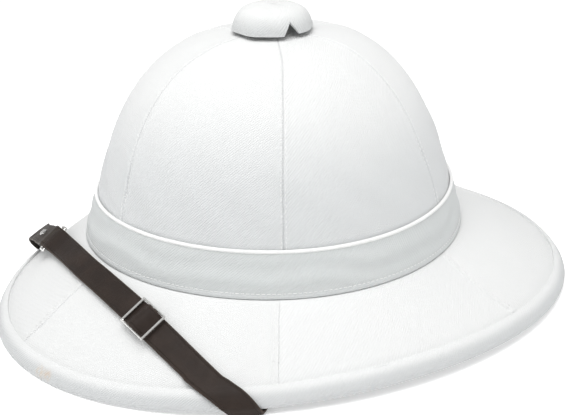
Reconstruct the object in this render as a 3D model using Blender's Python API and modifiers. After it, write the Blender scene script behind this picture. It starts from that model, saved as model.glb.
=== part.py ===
"""A white cloth-covered pith helmet with a plain band and a leather chin strap parked over its front brim.

Metres, +Z up. The wearer faces -Y and +X is on the wearer's left. The helmet rests on the plane Z = 0, and the
middle of its rim is over the origin. Angles go round the crown from the front, towards the wearer's left.
"""

import math

import bmesh
import bpy
from mathutils import Matrix, Vector

# Rings of the helmet, measured from the crown's axis: radius at the front, side and back
RIM_RADIUS = {"front": 0.1645, "side": 0.1457, "back": 0.1768}
FOOT_RADIUS = {"front": 0.1092, "side": 0.1039, "back": 0.1088}
BAND_TOP_RADIUS = {"front": 0.1014, "side": 0.0975, "back": 0.1036}

# Heights above the table at the front, side and back
FOOT_HEIGHT = {"front": 0.0437, "side": 0.0391, "back": 0.0413}
BAND_WIDTH = 0.0238
CROWN_HEIGHT = 0.1546
SIDE_RISE = 0.005
RISE_SHAPE = 1.5
REST_ARC = math.radians(12)

# Crown
CROWN_WALL = 0.003
CROWN_LEAN = 0.0033
CROWN_SQUARENESS = 3.67
CROWN_SHOULDER = 0.837
CROWN_PEAK = 0.0032
CROWN_PEAK_POWER = 3
VENT_HOLE_RADIUS = 0.006
CROWN_ROW_SHARES = (1.0, 0.995, 0.975, 0.93, 0.86, 0.77, 0.67, 0.56, 0.44, 0.3, 0.15, 0.0)

# Brim
BRIM_WALL = 0.003
BRIM_DROOP = 1.12
COLLAR_HEIGHT = 0.012
LEANING_WALL_SHARE = 1.1
BRIM_ROW_SHARES = (0.0, 0.25, 0.5, 0.75, 1.0)

# Cloth band and the piping along its top edge
BAND_WALL = 0.0012
BAND_SWELL = 0.0006
BAND_ROW_SHARES = (0.0, 0.33, 0.67, 1.0)
PIPING_RADIUS = 0.0009

# Rim binding: a tape folded over the brim's edge
BINDING_WALL = 0.001
BINDING_INSET = 0.006
BINDING_HEIGHT = 0.0096

# Ventilator cap
CAP_RADIUS = 0.0225
CAP_HEIGHT = 0.0127
CAP_LIFT = 0.0010
CAP_WALL = 0.0015
CAP_NOTCH_WIDTH = 0.0100
CAP_NOTCH_HEIGHT = 0.0070
CAP_NOTCH_ANGLE = math.radians(88)
NOTCH_CUT_SHARE = {"outer": 1.2, "inner": 0.6, "below": 0.2}
STEM_RADIUS = 0.0055
STEM_FLANGE_RADIUS = 0.012
STEM_FLANGE_THICKNESS = 0.002
STEM_FLANGE_DROP = 0.0013

# Chin strap
STRAP_WIDTH = 0.0138
STRAP_THICKNESS = 0.0013
STRAP_FRONT = 0.1172
STRAP_SWEEP = {"buckle": 0.0172, "tab": 0.0184}
STRAP_SWEEP_POWER = {"buckle": 2.0, "tab": 1.6}
STRAP_SWEEP_AT = 0.110
STRAP_END_CLIMB = 0.8
LAYER_SETTLE = 0.012
RIM_SLACK = 0.0007
RIM_TURN_LENGTH = 0.032

# Link that joins the strap to its tab, and the tab itself
# Places on them are measured inwards from the side of the rim that the tab goes over.
LINK_REACH = 0.0887
LINK_WIRE_RADIUS = 0.0009
LINK_SPACING = 0.0060
LINK_CORNER_SHARE = {"bulge": 0.3, "set_in": 1.5, "tuck": 0.2}
BRIDGE_LIFT = 0.0063
BRIDGE_REACH = 0.0407
BRIDGE_LENGTH = 0.075
TAB_UNDERLAP_REACH = 0.0507
RIVET_REACH = 0.0647
RIVET_HEAD_RADIUS = 0.0024
RIVET_HEAD_HEIGHT = 0.0013
RIVET_SHANK_RADIUS = 0.0012

# Slide buckle
BUCKLE_X = 0.0575
BUCKLE_LENGTH = 0.0196
BUCKLE_BAR = 0.0014
BUCKLE_SIDE_BAR = 0.0010
BUCKLE_BARS = 3
BUCKLE_ROUNDING_SHARE = 0.22
SINGLE_FROM_SHARE = 0.6

# Anchor studs inside the foot
STUD_RADIUS = 0.0022
STUD_THICKNESS = 0.0012
STUD_TOP_SHARE = 0.7

GAP = 0.0003
SIDES = 60
CAP_SIDES = 30
PIN_SIDES = 12
MITRE_LEAST = 0.6
EDGE_SEARCH_SHARE = 0.8
ACROSS_POINTS = 3
COLLAR_STEPS = 5
SKEW_LENGTH = 0.040
FOLD_STEPS = 7

COLLECTION = "pith_helmet"
CUTTERS = "cutters"
CROWN_FORWARD = (RIM_RADIUS["back"] - RIM_RADIUS["front"]) / 2

# The binding's outer face, as shares of its inset and of its height, from its upper edge round to its lower edge
BINDING_SHAPE = (
    {"inset": 1.00, "height": 1.00},
    {"inset": 0.55, "height": 0.80},
    {"inset": 0.20, "height": 0.51},
    {"inset": 0.00, "height": 0.23},
    {"inset": 0.10, "height": 0.00},
    {"inset": 0.73, "height": 0.00},
    {"inset": 1.05, "height": 0.125},
    {"inset": 1.50, "height": 0.48},
)

# The brim's own edge inside the binding, in the same shares
EDGE_SHAPE = (
    {"inset": 0.60, "height": 0.58},
    {"inset": 0.43, "height": 0.385},
)
EDGE_TOP_SHARE = 0.81

# The brim's upper face where the strap's line is read, in shares of its width
UPPER_SHARES = (0.0, 0.3, 0.6, 0.88)
UPPER_EDGE = len(UPPER_SHARES)
OUTERMOST = UPPER_EDGE + 3

# Heights of the strap's layers over what it lies on, and the x of each place along it
LOW_LAYER = GAP + STRAP_THICKNESS / 2
HIGH_LAYER = LOW_LAYER + STRAP_THICKNESS + GAP
FOLD_RADIUS = LINK_WIRE_RADIUS + 2 * GAP + STRAP_THICKNESS / 2
FOLD_TOP = LOW_LAYER + 2 * FOLD_RADIUS
FRAME_HEIGHT = HIGH_LAYER + STRAP_THICKNESS / 2 + 2 * GAP + BUCKLE_BAR / 2
OVER_BAR = FRAME_HEIGHT + BUCKLE_BAR / 2 + 2 * GAP + STRAP_THICKNESS / 2
RIM_LIFT = LOW_LAYER + RIM_SLACK
LINK_X = LINK_REACH - RIM_RADIUS["side"]
TAB_FOLD_X = LINK_X - LINK_SPACING
BRIDGE_X = BRIDGE_REACH - RIM_RADIUS["side"]
TAB_UNDERLAP_X = TAB_UNDERLAP_REACH - RIM_RADIUS["side"]
RIVET_X = RIVET_REACH - RIM_RADIUS["side"]

# The cap's outer face: share of its radius and of its height
CAP_SHAPE = (
    {"radius": 0.00, "height": 1.00},
    {"radius": 0.42, "height": 0.985},
    {"radius": 0.64, "height": 0.90},
    {"radius": 0.80, "height": 0.74},
    {"radius": 0.90, "height": 0.52},
    {"radius": 0.96, "height": 0.28},
    {"radius": 1.00, "height": 0.00},
)

# The rivet's outer side, as shares of its head's radius and height, above and below the leather
RIVET_HEAD = ({"radius": 0.0, "height": 1.0}, {"radius": 0.6, "height": 0.85}, {"radius": 1.0, "height": 0.3})
RIVET_TAIL = {"radius": 0.8, "height": 0.5}

COLOURS = {
    "white_cloth": ((0.86, 0.87, 0.87), 0.85, 0.0),
    "brown_leather": ((0.055, 0.035, 0.027), 0.5, 0.0),
    "bright_steel": ((0.75, 0.75, 0.73), 0.25, 1.0),
}


def around(angle, ring):
    """A size that goes smoothly from its front value through its side value to its back value."""
    mean = (ring["front"] + ring["back"]) / 4 + ring["side"] / 2
    oval = (ring["front"] + ring["back"]) / 4 - ring["side"] / 2
    forward = (ring["front"] - ring["back"]) / 2
    return mean + forward * math.cos(angle) + oval * math.cos(2 * angle)


def place(angle, radius, height):
    """The point at this angle, radius and height from the crown's axis."""
    return Vector((radius * math.sin(angle), -radius * math.cos(angle) - CROWN_FORWARD, height))


def rim_rise(angle):
    """How far the rim is off the table: nothing along the two arcs that it rests on, most at the sides."""
    turn = abs(math.remainder(angle, 2 * math.pi))
    from_tip = min(turn, math.pi - turn)
    share = max(0.0, (from_tip - REST_ARC) / (math.pi / 2 - REST_ARC))
    return SIDE_RISE * math.sin(share * math.pi / 2) ** RISE_SHAPE


def foot(angle):
    """Radius and height of the line where the band meets the brim."""
    return around(angle, FOOT_RADIUS), around(angle, FOOT_HEIGHT)


def band_top(angle):
    """Radius and height of the band's upper edge, under the piping."""
    return around(angle, BAND_TOP_RADIUS), around(angle, FOOT_HEIGHT) + BAND_WIDTH


def rim_point(angle, shape):
    """A point of the binding or of the edge inside it, from its shares."""
    radius = around(angle, RIM_RADIUS) - shape["inset"] * BINDING_INSET
    return radius, rim_rise(angle) + shape["height"] * BINDING_HEIGHT


def brim_top(angle, share):
    """Radius and height of the brim's upper face, from the foot (0) to the binding's upper edge (1)."""
    foot_radius, foot_height = foot(angle)
    edge_radius, edge_height = rim_point(angle, {"inset": 1.0, "height": EDGE_TOP_SHARE})
    radius = foot_radius + (edge_radius - foot_radius) * share
    return radius, foot_height - (foot_height - edge_height) * share**BRIM_DROOP


def crown_section(angle):
    """The crown's outer face, from the vent hole down to the brim."""
    cover = BAND_WALL + GAP
    foot_radius, foot_height = foot(angle)
    base_radius, base_height = band_top(angle)
    rows = []
    for rise in CROWN_ROW_SHARES:
        share = (1 - rise ** (1 / CROWN_SHOULDER)) ** (1 / CROWN_SQUARENESS)
        radius = max((base_radius - cover) * share, VENT_HOLE_RADIUS)
        share = radius / (base_radius - cover)
        peak = CROWN_PEAK * (1 - share) ** CROWN_PEAK_POWER
        point = place(angle, radius, base_height + (CROWN_HEIGHT - CROWN_PEAK - base_height) * rise + peak)
        rows.append(point + Vector((0, CROWN_LEAN * (1 - share), 0)))
    slope = (foot_radius - base_radius) / BAND_WIDTH
    clear = CROWN_WALL * slope + 2 * GAP
    rows.append(place(angle, foot_radius - cover - clear * slope, foot_height + clear))
    return rows


def brim_rows(angle):
    """Radius and height down the brim's upper face: collar, flare, and the edge inside the binding."""
    foot_radius, foot_height = foot(angle)
    base_radius = band_top(angle)[0]
    inside = BAND_WALL + GAP + CROWN_WALL * LEANING_WALL_SHARE + GAP
    collar_radius = foot_radius + (base_radius - foot_radius) * COLLAR_HEIGHT / BAND_WIDTH
    rows = [(collar_radius - inside, foot_height + COLLAR_HEIGHT), (foot_radius - inside, foot_height + GAP)]
    rows += [brim_top(angle, share) for share in BRIM_ROW_SHARES]
    rows += [rim_point(angle, shape) for shape in EDGE_SHAPE]
    return rows


def brim_section(angle):
    """The brim's upper face."""
    return [place(angle, *row) for row in brim_rows(angle)]


def band_section(angle):
    """The band's outer face, from just under the piping to just above the brim."""
    foot_radius, foot_height = foot(angle)
    top_radius = band_top(angle)[0]
    highest = 1 - (PIPING_RADIUS + GAP) / BAND_WIDTH
    lowest = 2 * GAP / BAND_WIDTH
    rows = []
    for down in BAND_ROW_SHARES:
        share = highest + (lowest - highest) * down
        radius = foot_radius + (top_radius - foot_radius) * share
        radius += BAND_SWELL * math.sin(math.pi * down)
        rows.append(place(angle, radius, foot_height + BAND_WIDTH * share))
    return rows


def binding_section(angle):
    """The binding's outer face."""
    return [place(angle, *rim_point(angle, shape)) for shape in BINDING_SHAPE]


def cap_section(angle):
    """The ventilator cap's outer face, round its own axis."""
    return [
        Vector(
            (
                shape["radius"] * CAP_RADIUS * math.sin(angle),
                -shape["radius"] * CAP_RADIUS * math.cos(angle),
                shape["height"] * CAP_HEIGHT,
            )
        )
        for shape in CAP_SHAPE
    ]


def finish(obj, finish_name, collection=COLLECTION):
    """Puts an object in its collection and gives it its material."""
    bpy.data.collections[collection].objects.link(obj)
    material = bpy.data.materials.get(finish_name)
    if material is None:
        colour, roughness, metallic = COLOURS[finish_name]
        material = bpy.data.materials.new(finish_name)
        material.use_nodes = True
        shader = material.node_tree.nodes["Principled BSDF"]
        shader.inputs["Base Color"].default_value = (*colour, 1)
        shader.inputs["Roughness"].default_value = roughness
        shader.inputs["Metallic"].default_value = metallic
        material.diffuse_color = (*colour, 1)
    obj.data.materials.append(material)
    return obj


def mesh_object(name, mesh, finish_name, sharp=40):
    """A smooth-shaded object that keeps its sharp edges."""
    mesh.shade_smooth()
    mesh.set_sharp_from_angle(angle=math.radians(sharp))
    return finish(bpy.data.objects.new(name, mesh), finish_name)


def sheet_round(name, section, sides, wall, finish_name):
    """An open sheet swept round the axis from its section at each angle, thickened inwards."""
    angles = [2 * math.pi * (i + 0.5) / sides for i in range(sides)]
    shape = bmesh.new()
    columns = [[shape.verts.new(point) for point in section(angle)] for angle in angles]
    for left, right in zip(columns, columns[1:] + columns[:1]):
        for i in range(len(left) - 1):
            shape.faces.new((left[i], left[i + 1], right[i + 1], right[i]))
    bmesh.ops.remove_doubles(shape, verts=shape.verts, dist=1e-6)
    mesh = bpy.data.meshes.new(name)
    shape.to_mesh(mesh)
    shape.free()
    obj = mesh_object(name, mesh, finish_name)
    solidify = obj.modifiers.new("wall", "SOLIDIFY")
    solidify.thickness = wall
    solidify.offset = -1
    solidify.use_even_offset = True
    return obj


def moved_out(points, distance):
    """A line of (radius, height) points moved to its outer side, keeping the distance round its corners."""
    points = [Vector(point) for point in points]
    moved = []
    for i, point in enumerate(points):
        pairs = ((points[max(i - 1, 0)], point), (point, points[min(i + 1, len(points) - 1)]))
        sides = [(b - a).normalized() for a, b in pairs if (b - a).length > 1e-9]
        normals = [Vector((-side.y, side.x)) for side in sides]
        normal = sum(normals, Vector((0, 0))).normalized()
        moved.append(point + normal * distance / max(normal.dot(normals[0]), MITRE_LEAST))
    return moved


def outline(angle):
    """What the strap lies on: the brim's upper face, the binding, the brim's lower face and the collar's inside."""
    upper = [brim_top(angle, share) for share in UPPER_SHARES]
    edge = [rim_point(angle, shape) for shape in BINDING_SHAPE]
    lower = moved_out(brim_rows(angle), -BRIM_WALL - GAP)[: 1 + len(BRIM_ROW_SHARES)]
    return upper + edge + [tuple(point) for point in reversed(lower)]


def run_of(angle, lift):
    """The lifted outline's points, and how far along it each lies from the rim's outermost point."""
    points = moved_out(outline(angle), lift)
    run = [0.0]
    for before, after in zip(points, points[1:]):
        run.append(run[-1] + (after - before).length)
    return points, [distance - run[OUTERMOST] for distance in run]


def on_outline(angle, run, lift):
    """The point this far along the outline from the rim's outermost point, lifted off it."""
    guide_run = run_of(angle, STRAP_THICKNESS)[1]
    points = moved_out(outline(angle), lift)
    i = 0
    while i < len(points) - 2 and guide_run[i + 1] < run:
        i += 1
    share = (run - guide_run[i]) / (guide_run[i + 1] - guide_run[i])
    radius, height = points[i].lerp(points[i + 1], share)
    return place(angle, radius, height)


def radius_at(angle, run):
    """The strap's distance from the crown's axis here."""
    point = on_outline(angle, run, STRAP_THICKNESS)
    return math.hypot(point.x, point.y + CROWN_FORWARD)


def top_spot(x):
    """(angle, run) of the parked strap's centre line at this x on the brim's upper face."""
    side = "buckle" if x > 0 else "tab"
    y = -STRAP_FRONT + STRAP_SWEEP[side] * (abs(x) / STRAP_SWEEP_AT) ** STRAP_SWEEP_POWER[side]
    angle = math.atan2(x, -y)
    radius = math.hypot(x, y)
    points, run = run_of(angle, STRAP_THICKNESS)
    for i in range(OUTERMOST):
        if points[i].x <= radius <= points[i + 1].x:
            share = (radius - points[i].x) / (points[i + 1].x - points[i].x)
            return angle, run[i] + (run[i + 1] - run[i]) * share
    return angle, run[OUTERMOST]


def steps(start, end, count):
    """Evenly spaced values from start to end, both included."""
    return [start + (end - start) * i / (count - 1) for i in range(count)]


def edge_x(side):
    """The x at which the strap's centre line comes to the binding's upper edge."""
    x = FOOT_RADIUS["side"] * EDGE_SEARCH_SHARE
    while True:
        angle, run = top_spot(side * x)
        if run >= run_of(angle, STRAP_THICKNESS)[1][UPPER_EDGE]:
            return side * x
        x += STRAP_THICKNESS / 4


def ease(share):
    """A smooth step from 0 to 1."""
    share = min(max(share, 0.0), 1.0)
    return share * share * (3 - 2 * share)


def round_rim(side):
    """Spots that carry the strap on from the binding's upper edge, turning square to the rim, and up the collar."""
    last = edge_x(side)
    before, after = top_spot(last - side * STRAP_WIDTH / 2), top_spot(last)
    across_run = (after[0] - before[0]) * radius_at(*after)
    slant = across_run / (after[1] - before[1])
    angle, run = after
    runs = run_of(angle, STRAP_THICKNESS)[1]
    top = runs[-1] - COLLAR_HEIGHT * (1 - STRAP_END_CLIMB)
    targets = runs[UPPER_EDGE + 1 : -2] + steps(runs[-2], top, COLLAR_STEPS)
    start = run
    spots = []
    origin = angle
    for target in targets:
        share = ease((target - start) / RIM_TURN_LENGTH)
        angle += slant * (1 - share) * (target - run) / radius_at(angle, run)
        run = target
        spots.append((angle, level_run(origin, run, angle)))
    return spots


def level_run(angle, run, other):
    """The run at another angle that lies on the same stretch of the outline, at the same share of it."""
    here, there = run_of(angle, STRAP_THICKNESS)[1], run_of(other, STRAP_THICKNESS)[1]
    i = 0
    while i < len(here) - 2 and here[i + 1] < run:
        i += 1
    return there[i] + (there[i + 1] - there[i]) * (run - here[i]) / (here[i + 1] - here[i])


def rows_of(spots, lifts, skews, flip=False):
    """For each spot, the points across the strap on its outer face and on its inner face.

    A skew of 0 lays the points square across the strap, and 1 lays them level along the rim.
    """
    rows = []
    for i, ((angle, run), lift, skew) in enumerate(zip(spots, lifts, skews)):
        before, after = spots[max(i - 1, 0)], spots[min(i + 1, len(spots) - 1)]
        along = Vector(((after[0] - before[0]) * radius_at(angle, run), after[1] - before[1])).normalized()
        across = Vector((-along.y, along.x))
        if skew:
            across -= along * skew * along.x / along.y
        faces = []
        for face in (-0.5, 0.5):
            points = []
            for offset in steps(-STRAP_WIDTH / 2, STRAP_WIDTH / 2, ACROSS_POINTS):
                turn = angle + across.x * offset / radius_at(angle, run)
                reached = run + across.y * offset + skew * (level_run(angle, run, turn) - run)
                points.append(on_outline(turn, reached, lift + face * STRAP_THICKNESS))
            faces.append(points)
        rows.append((faces[1], faces[0]) if flip else (faces[0], faces[1]))
    return rows


def bridge(x):
    """How far the strap is on its way to standing clear of the brim here: it spans from the front to the rim."""
    return math.cos(min(abs(x - BRIDGE_X) / BRIDGE_LENGTH, 1.0) * math.pi / 2) ** 2


def top_rows(xs, lifts, flip=False):
    """Rows of the strap where it lies on the brim, turning level with the rim as they come near it."""
    skews = [ease((abs(x) - abs(edge_x(1)) + SKEW_LENGTH) / SKEW_LENGTH) for x in xs]
    return rows_of([top_spot(x) for x in xs], lifts, skews, flip)


def joined_rows(xs, lifts, side):
    """The strap's rows over the brim at these x, then on round the rim and up to its end."""
    spots = [top_spot(x) for x in xs]
    rim = round_rim(side)
    spare = lifts[-1] - RIM_LIFT
    start = spots[-1][1]
    rim_lifts = [RIM_LIFT + spare * (1 - ease((run - start) / (0 - start))) for _, run in rim]
    skews = [ease((abs(x) - abs(xs[-1]) + SKEW_LENGTH) / SKEW_LENGTH) for x in xs] + [1] * len(rim)
    rows = rows_of(spots + rim, lifts + rim_lifts, skews, flip=True)
    return [(outer[::-1], inner[::-1]) for outer, inner in rows]


def fold_rows(low, high, towards):
    """Rows that turn the strap over by half a turn, from its lower layer's last row to its upper layer's first."""
    rows = []
    for turn in [math.pi * i / FOLD_STEPS for i in range(1, FOLD_STEPS)]:
        row = []
        for below, above in zip(low, high):
            points = []
            for start, end in zip(below, above):
                arm = (end - start) / 2
                points.append((start + end) / 2 - arm * math.cos(turn) + towards * arm.length * math.sin(turn))
            row.append(points)
        rows.append(tuple(row))
    return rows


def ribbon(name, rows, finish_name):
    """A closed strap from its rows of outer and inner points."""
    shape = bmesh.new()
    rings = [[shape.verts.new(point) for point in outer + inner[::-1]] for outer, inner in rows]
    count = len(rings[0])
    for before, after in zip(rings, rings[1:]):
        for i in range(count):
            j = (i + 1) % count
            shape.faces.new((before[i], before[j], after[j], after[i]))
    for ring in (rings[0], rings[-1]):
        for i in range(ACROSS_POINTS - 1):
            shape.faces.new((ring[i], ring[i + 1], ring[-2 - i], ring[-1 - i]))
    bmesh.ops.recalc_face_normals(shape, faces=shape.faces)
    mesh = bpy.data.meshes.new(name)
    shape.to_mesh(mesh)
    shape.free()
    return mesh_object(name, mesh, finish_name, sharp=35)


def middle(row):
    """(centre, direction across, face normal from the inner face to the outer one) of a row."""
    outer, inner = row
    centre = (outer[ACROSS_POINTS // 2] + inner[ACROSS_POINTS // 2]) / 2
    across = (outer[-1] - outer[0]).normalized()
    normal = outer[ACROSS_POINTS // 2] - inner[ACROSS_POINTS // 2]
    return centre, across, (normal - across * normal.dot(across)).normalized()


def fold_direction(rows):
    """The way the strap runs where these rows end."""
    return (middle(rows[-1])[0] - middle(rows[-2])[0]).normalized()


def fold_rise(distance):
    """How much the upper layer stands over its settled height, this far from the fold."""
    return (FOLD_TOP - HIGH_LAYER) * (1 - ease(distance / LAYER_SETTLE))


def upper_lift(x):
    """Height of the strap's upper layer over the brim, from the link through the buckle to the single strap."""
    reach = BUCKLE_LENGTH / 2 - BUCKLE_BAR
    bulge = math.cos(min(abs(x - BUCKLE_X) / reach, 1.0) * math.pi / 2) ** 2
    single = ease((x - BUCKLE_X - BUCKLE_LENGTH * SINGLE_FROM_SHARE) / LAYER_SETTLE)
    lift = HIGH_LAYER + fold_rise(x - LINK_X) + (OVER_BAR - HIGH_LAYER) * bulge
    return lift + BRIDGE_LIFT * bridge(x) - (HIGH_LAYER - RIM_LIFT) * single


def tab_lift(x):
    """Height of the tab's upper layer over the brim."""
    return HIGH_LAYER + fold_rise(TAB_FOLD_X - x) + BRIDGE_LIFT * bridge(x)


def wire(name, points, radius, finish_name, closed=True, resolution=2):
    """A round wire along the points, as a curve object."""
    curve = bpy.data.curves.new(name, "CURVE")
    curve.dimensions = "3D"
    curve.bevel_depth = radius
    curve.bevel_resolution = resolution
    curve.use_fill_caps = not closed
    spline = curve.splines.new("POLY")
    spline.points.add(len(points) - 1)
    for spot, point in zip(spline.points, points):
        spot.co = (*point, 1)
    spline.use_cyclic_u = closed
    return finish(bpy.data.objects.new(name, curve), finish_name)


def turned(name, rows, sides, finish_name):
    """A turned solid from (radius, height) rows that run down its outer side."""
    mesh = bpy.data.meshes.new(name)
    shape = bmesh.new()
    verts = [shape.verts.new((radius, 0, height)) for radius, height in rows]
    for upper, lower in zip(verts, verts[1:]):
        shape.edges.new((upper, lower))
    shape.to_mesh(mesh)
    shape.free()
    obj = finish(bpy.data.objects.new(name, mesh), finish_name)
    screw = obj.modifiers.new("turn", "SCREW")
    screw.steps = screw.render_steps = sides
    screw.use_merge_vertices = True
    screw.merge_threshold = 1e-5
    return obj


def cutter(name, mesh, matrix):
    """A helper that only cuts."""
    obj = bpy.data.objects.new(name, mesh)
    bpy.data.collections[CUTTERS].objects.link(obj)
    obj.matrix_world = matrix
    obj.hide_render = True
    obj.display_type = "WIRE"
    return obj


def cut(obj, other):
    """Takes the cutter's shape out of the object."""
    boolean = obj.modifiers.new(other.name, "BOOLEAN")
    boolean.object = other
    boolean.operation = "DIFFERENCE"


def block(name, size):
    """A box mesh of this size round its own middle."""
    shape = bmesh.new()
    bmesh.ops.create_cube(shape, size=1.0, matrix=Matrix.Diagonal((*size, 1)))
    mesh = bpy.data.meshes.new(name)
    shape.to_mesh(mesh)
    shape.free()
    return mesh


def axes(centre, along, across, normal):
    """The matrix that puts local x, y and z on these directions at this centre."""
    matrix = Matrix((along, across, normal)).transposed().to_4x4()
    matrix.translation = centre
    return matrix


def build_crown():
    """The six-gore cloth-covered dome, with its vent hole at the top."""
    sheet_round("crown", crown_section, SIDES, CROWN_WALL, "white_cloth")


def build_brim():
    """The six-panel cloth-covered flare, whose collar stands up inside the crown's foot."""
    sheet_round("brim", brim_section, SIDES, BRIM_WALL, "white_cloth")


def build_band():
    """The plain cloth band over the joint of crown and brim."""
    sheet_round("band", band_section, SIDES, BAND_WALL, "white_cloth")


def build_piping():
    """The corded edge along the top of the band."""
    points = []
    for i in range(SIDES):
        angle = 2 * math.pi * (i + 0.5) / SIDES
        radius, height = band_top(angle)
        points.append(place(angle, radius - BAND_WALL - GAP + PIPING_RADIUS + GAP, height))
    wire("piping", points, PIPING_RADIUS, "white_cloth", resolution=1)


def build_binding():
    """The cloth tape folded over the brim's edge, which the helmet rests on."""
    sheet_round("rim_binding", binding_section, SIDES, BINDING_WALL, "white_cloth")


def build_ventilator():
    """The cloth-covered cap over the vent hole, with the notch in its skirt, and the stem that holds it."""
    cap = sheet_round("ventilator_cap", cap_section, CAP_SIDES, CAP_WALL, "white_cloth")
    base = Vector((0, CROWN_LEAN - CROWN_FORWARD, CROWN_HEIGHT + CAP_LIFT))
    cap.location = base
    shape = bmesh.new()
    half = CAP_NOTCH_WIDTH / 2
    low = -CAP_NOTCH_HEIGHT * NOTCH_CUT_SHARE["below"]
    widen = half * (CAP_NOTCH_HEIGHT - low) / CAP_NOTCH_HEIGHT
    corners = [
        shape.verts.new((x, y, z))
        for y in (-CAP_RADIUS * NOTCH_CUT_SHARE["outer"], -CAP_RADIUS * NOTCH_CUT_SHARE["inner"])
        for x, z in ((-widen, low), (widen, low), (0, CAP_NOTCH_HEIGHT))
    ]
    shape.faces.new(corners[:3])
    shape.faces.new(corners[3:])
    for i in range(3):
        j = (i + 1) % 3
        shape.faces.new((corners[i], corners[j], corners[j + 3], corners[i + 3]))
    bmesh.ops.recalc_face_normals(shape, faces=shape.faces)
    mesh = bpy.data.meshes.new("notch")
    shape.to_mesh(mesh)
    shape.free()
    turn = Matrix.Translation(base) @ Matrix.Rotation(CAP_NOTCH_ANGLE, 4, "Z")
    cut(cap, cutter("notch_cutter", mesh, turn))

    inside = CROWN_HEIGHT - STEM_FLANGE_DROP - CROWN_WALL - 2 * GAP
    under_cap = base.z + CAP_HEIGHT * CAP_SHAPE[1]["height"] - CAP_WALL - 3 * GAP
    rows = (
        (0, under_cap),
        (STEM_RADIUS, under_cap),
        (STEM_RADIUS, inside),
        (STEM_FLANGE_RADIUS, inside),
        (STEM_FLANGE_RADIUS, inside - STEM_FLANGE_THICKNESS),
        (0, inside - STEM_FLANGE_THICKNESS),
    )
    stem = turned("ventilator_stem", rows, PIN_SIDES, "bright_steel")
    stem.location = (base.x, base.y, 0)


def build_stud(name, row):
    """A plain stud that holds the strap's hidden end to the collar, over this row of the strap."""
    centre, across, normal = middle(row)
    rows = ((0, STUD_THICKNESS), (STUD_RADIUS * STUD_TOP_SHARE, STUD_THICKNESS), (STUD_RADIUS, 0), (0, 0))
    stud = turned(name, rows, PIN_SIDES, "bright_steel")
    seat = centre + normal * (STRAP_THICKNESS / 2 + 2 * GAP)
    stud.matrix_world = axes(seat, across.cross(normal), across, normal)


def build_rivet(tab):
    """The rivet through the tab's two layers, in a hole of its own."""
    centre, across, normal = middle(top_rows([RIVET_X + 0.001, RIVET_X, RIVET_X - 0.001],
                                             [tab_lift(RIVET_X)] * 3, flip=True)[1])
    matrix = axes(centre, across.cross(normal), across, normal)
    shape = bmesh.new()
    radius = RIVET_SHANK_RADIUS + 2 * GAP
    bmesh.ops.create_cone(shape, cap_ends=True, segments=PIN_SIDES, radius1=radius, radius2=radius,
                          depth=2 * (HIGH_LAYER + STRAP_THICKNESS))
    mesh = bpy.data.meshes.new("rivet_hole")
    shape.to_mesh(mesh)
    shape.free()
    cut(tab, cutter("rivet_hole_cutter", mesh, matrix))
    top = STRAP_THICKNESS / 2 + 2 * GAP
    bottom = -(HIGH_LAYER - LOW_LAYER) - STRAP_THICKNESS / 2 - GAP
    tail_radius = RIVET_HEAD_RADIUS * RIVET_TAIL["radius"]
    tail_end = bottom - RIVET_HEAD_HEIGHT * RIVET_TAIL["height"]
    rows = [(RIVET_HEAD_RADIUS * row["radius"], top + RIVET_HEAD_HEIGHT * row["height"]) for row in RIVET_HEAD]
    rows += [(RIVET_HEAD_RADIUS, top), (RIVET_SHANK_RADIUS, top), (RIVET_SHANK_RADIUS, bottom)]
    rows += [(tail_radius, bottom), (tail_radius, tail_end), (0, tail_end)]
    turned("tab_rivet", rows, PIN_SIDES, "bright_steel").matrix_world = matrix


def build_strap():
    """The long leather strap: doubled from the slide to the link, then single through the slide and over the rim."""
    low_xs = steps(BUCKLE_X, LINK_X, 16)
    low = top_rows(low_xs, [LOW_LAYER + BRIDGE_LIFT * bridge(x) for x in low_xs])
    start, end = BUCKLE_X - BUCKLE_LENGTH / 2, BUCKLE_X + BUCKLE_LENGTH / 2
    xs = steps(LINK_X, start, 14) + steps(start, end, 11)[1:] + steps(end, edge_x(1), 12)[1:]
    lifts = [upper_lift(x) for x in xs]
    high = joined_rows(xs, lifts, 1)
    ribbon("strap", low + fold_rows(low[-1], high[0], fold_direction(low)) + high, "brown_leather")
    build_stud("strap_stud_left", high[-2])
    return (low[-1], high[0])


def build_tab():
    """The short leather tab: folded round the link, riveted, then over the far rim and under the brim."""
    low_xs = steps(TAB_UNDERLAP_X, TAB_FOLD_X, 9)
    low_lifts = [tab_lift(x) - fold_rise(TAB_FOLD_X - x) - (HIGH_LAYER - LOW_LAYER) for x in low_xs]
    low = top_rows(low_xs, low_lifts)
    xs = steps(TAB_FOLD_X, edge_x(-1), 14)
    high = joined_rows(xs, [tab_lift(x) for x in xs], -1)
    tab = ribbon("strap_tab", low + fold_rows(low[-1], high[0], fold_direction(low)) + high, "brown_leather")
    build_stud("strap_stud_right", high[-2])
    build_rivet(tab)
    return (low[-1], high[0])


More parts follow.
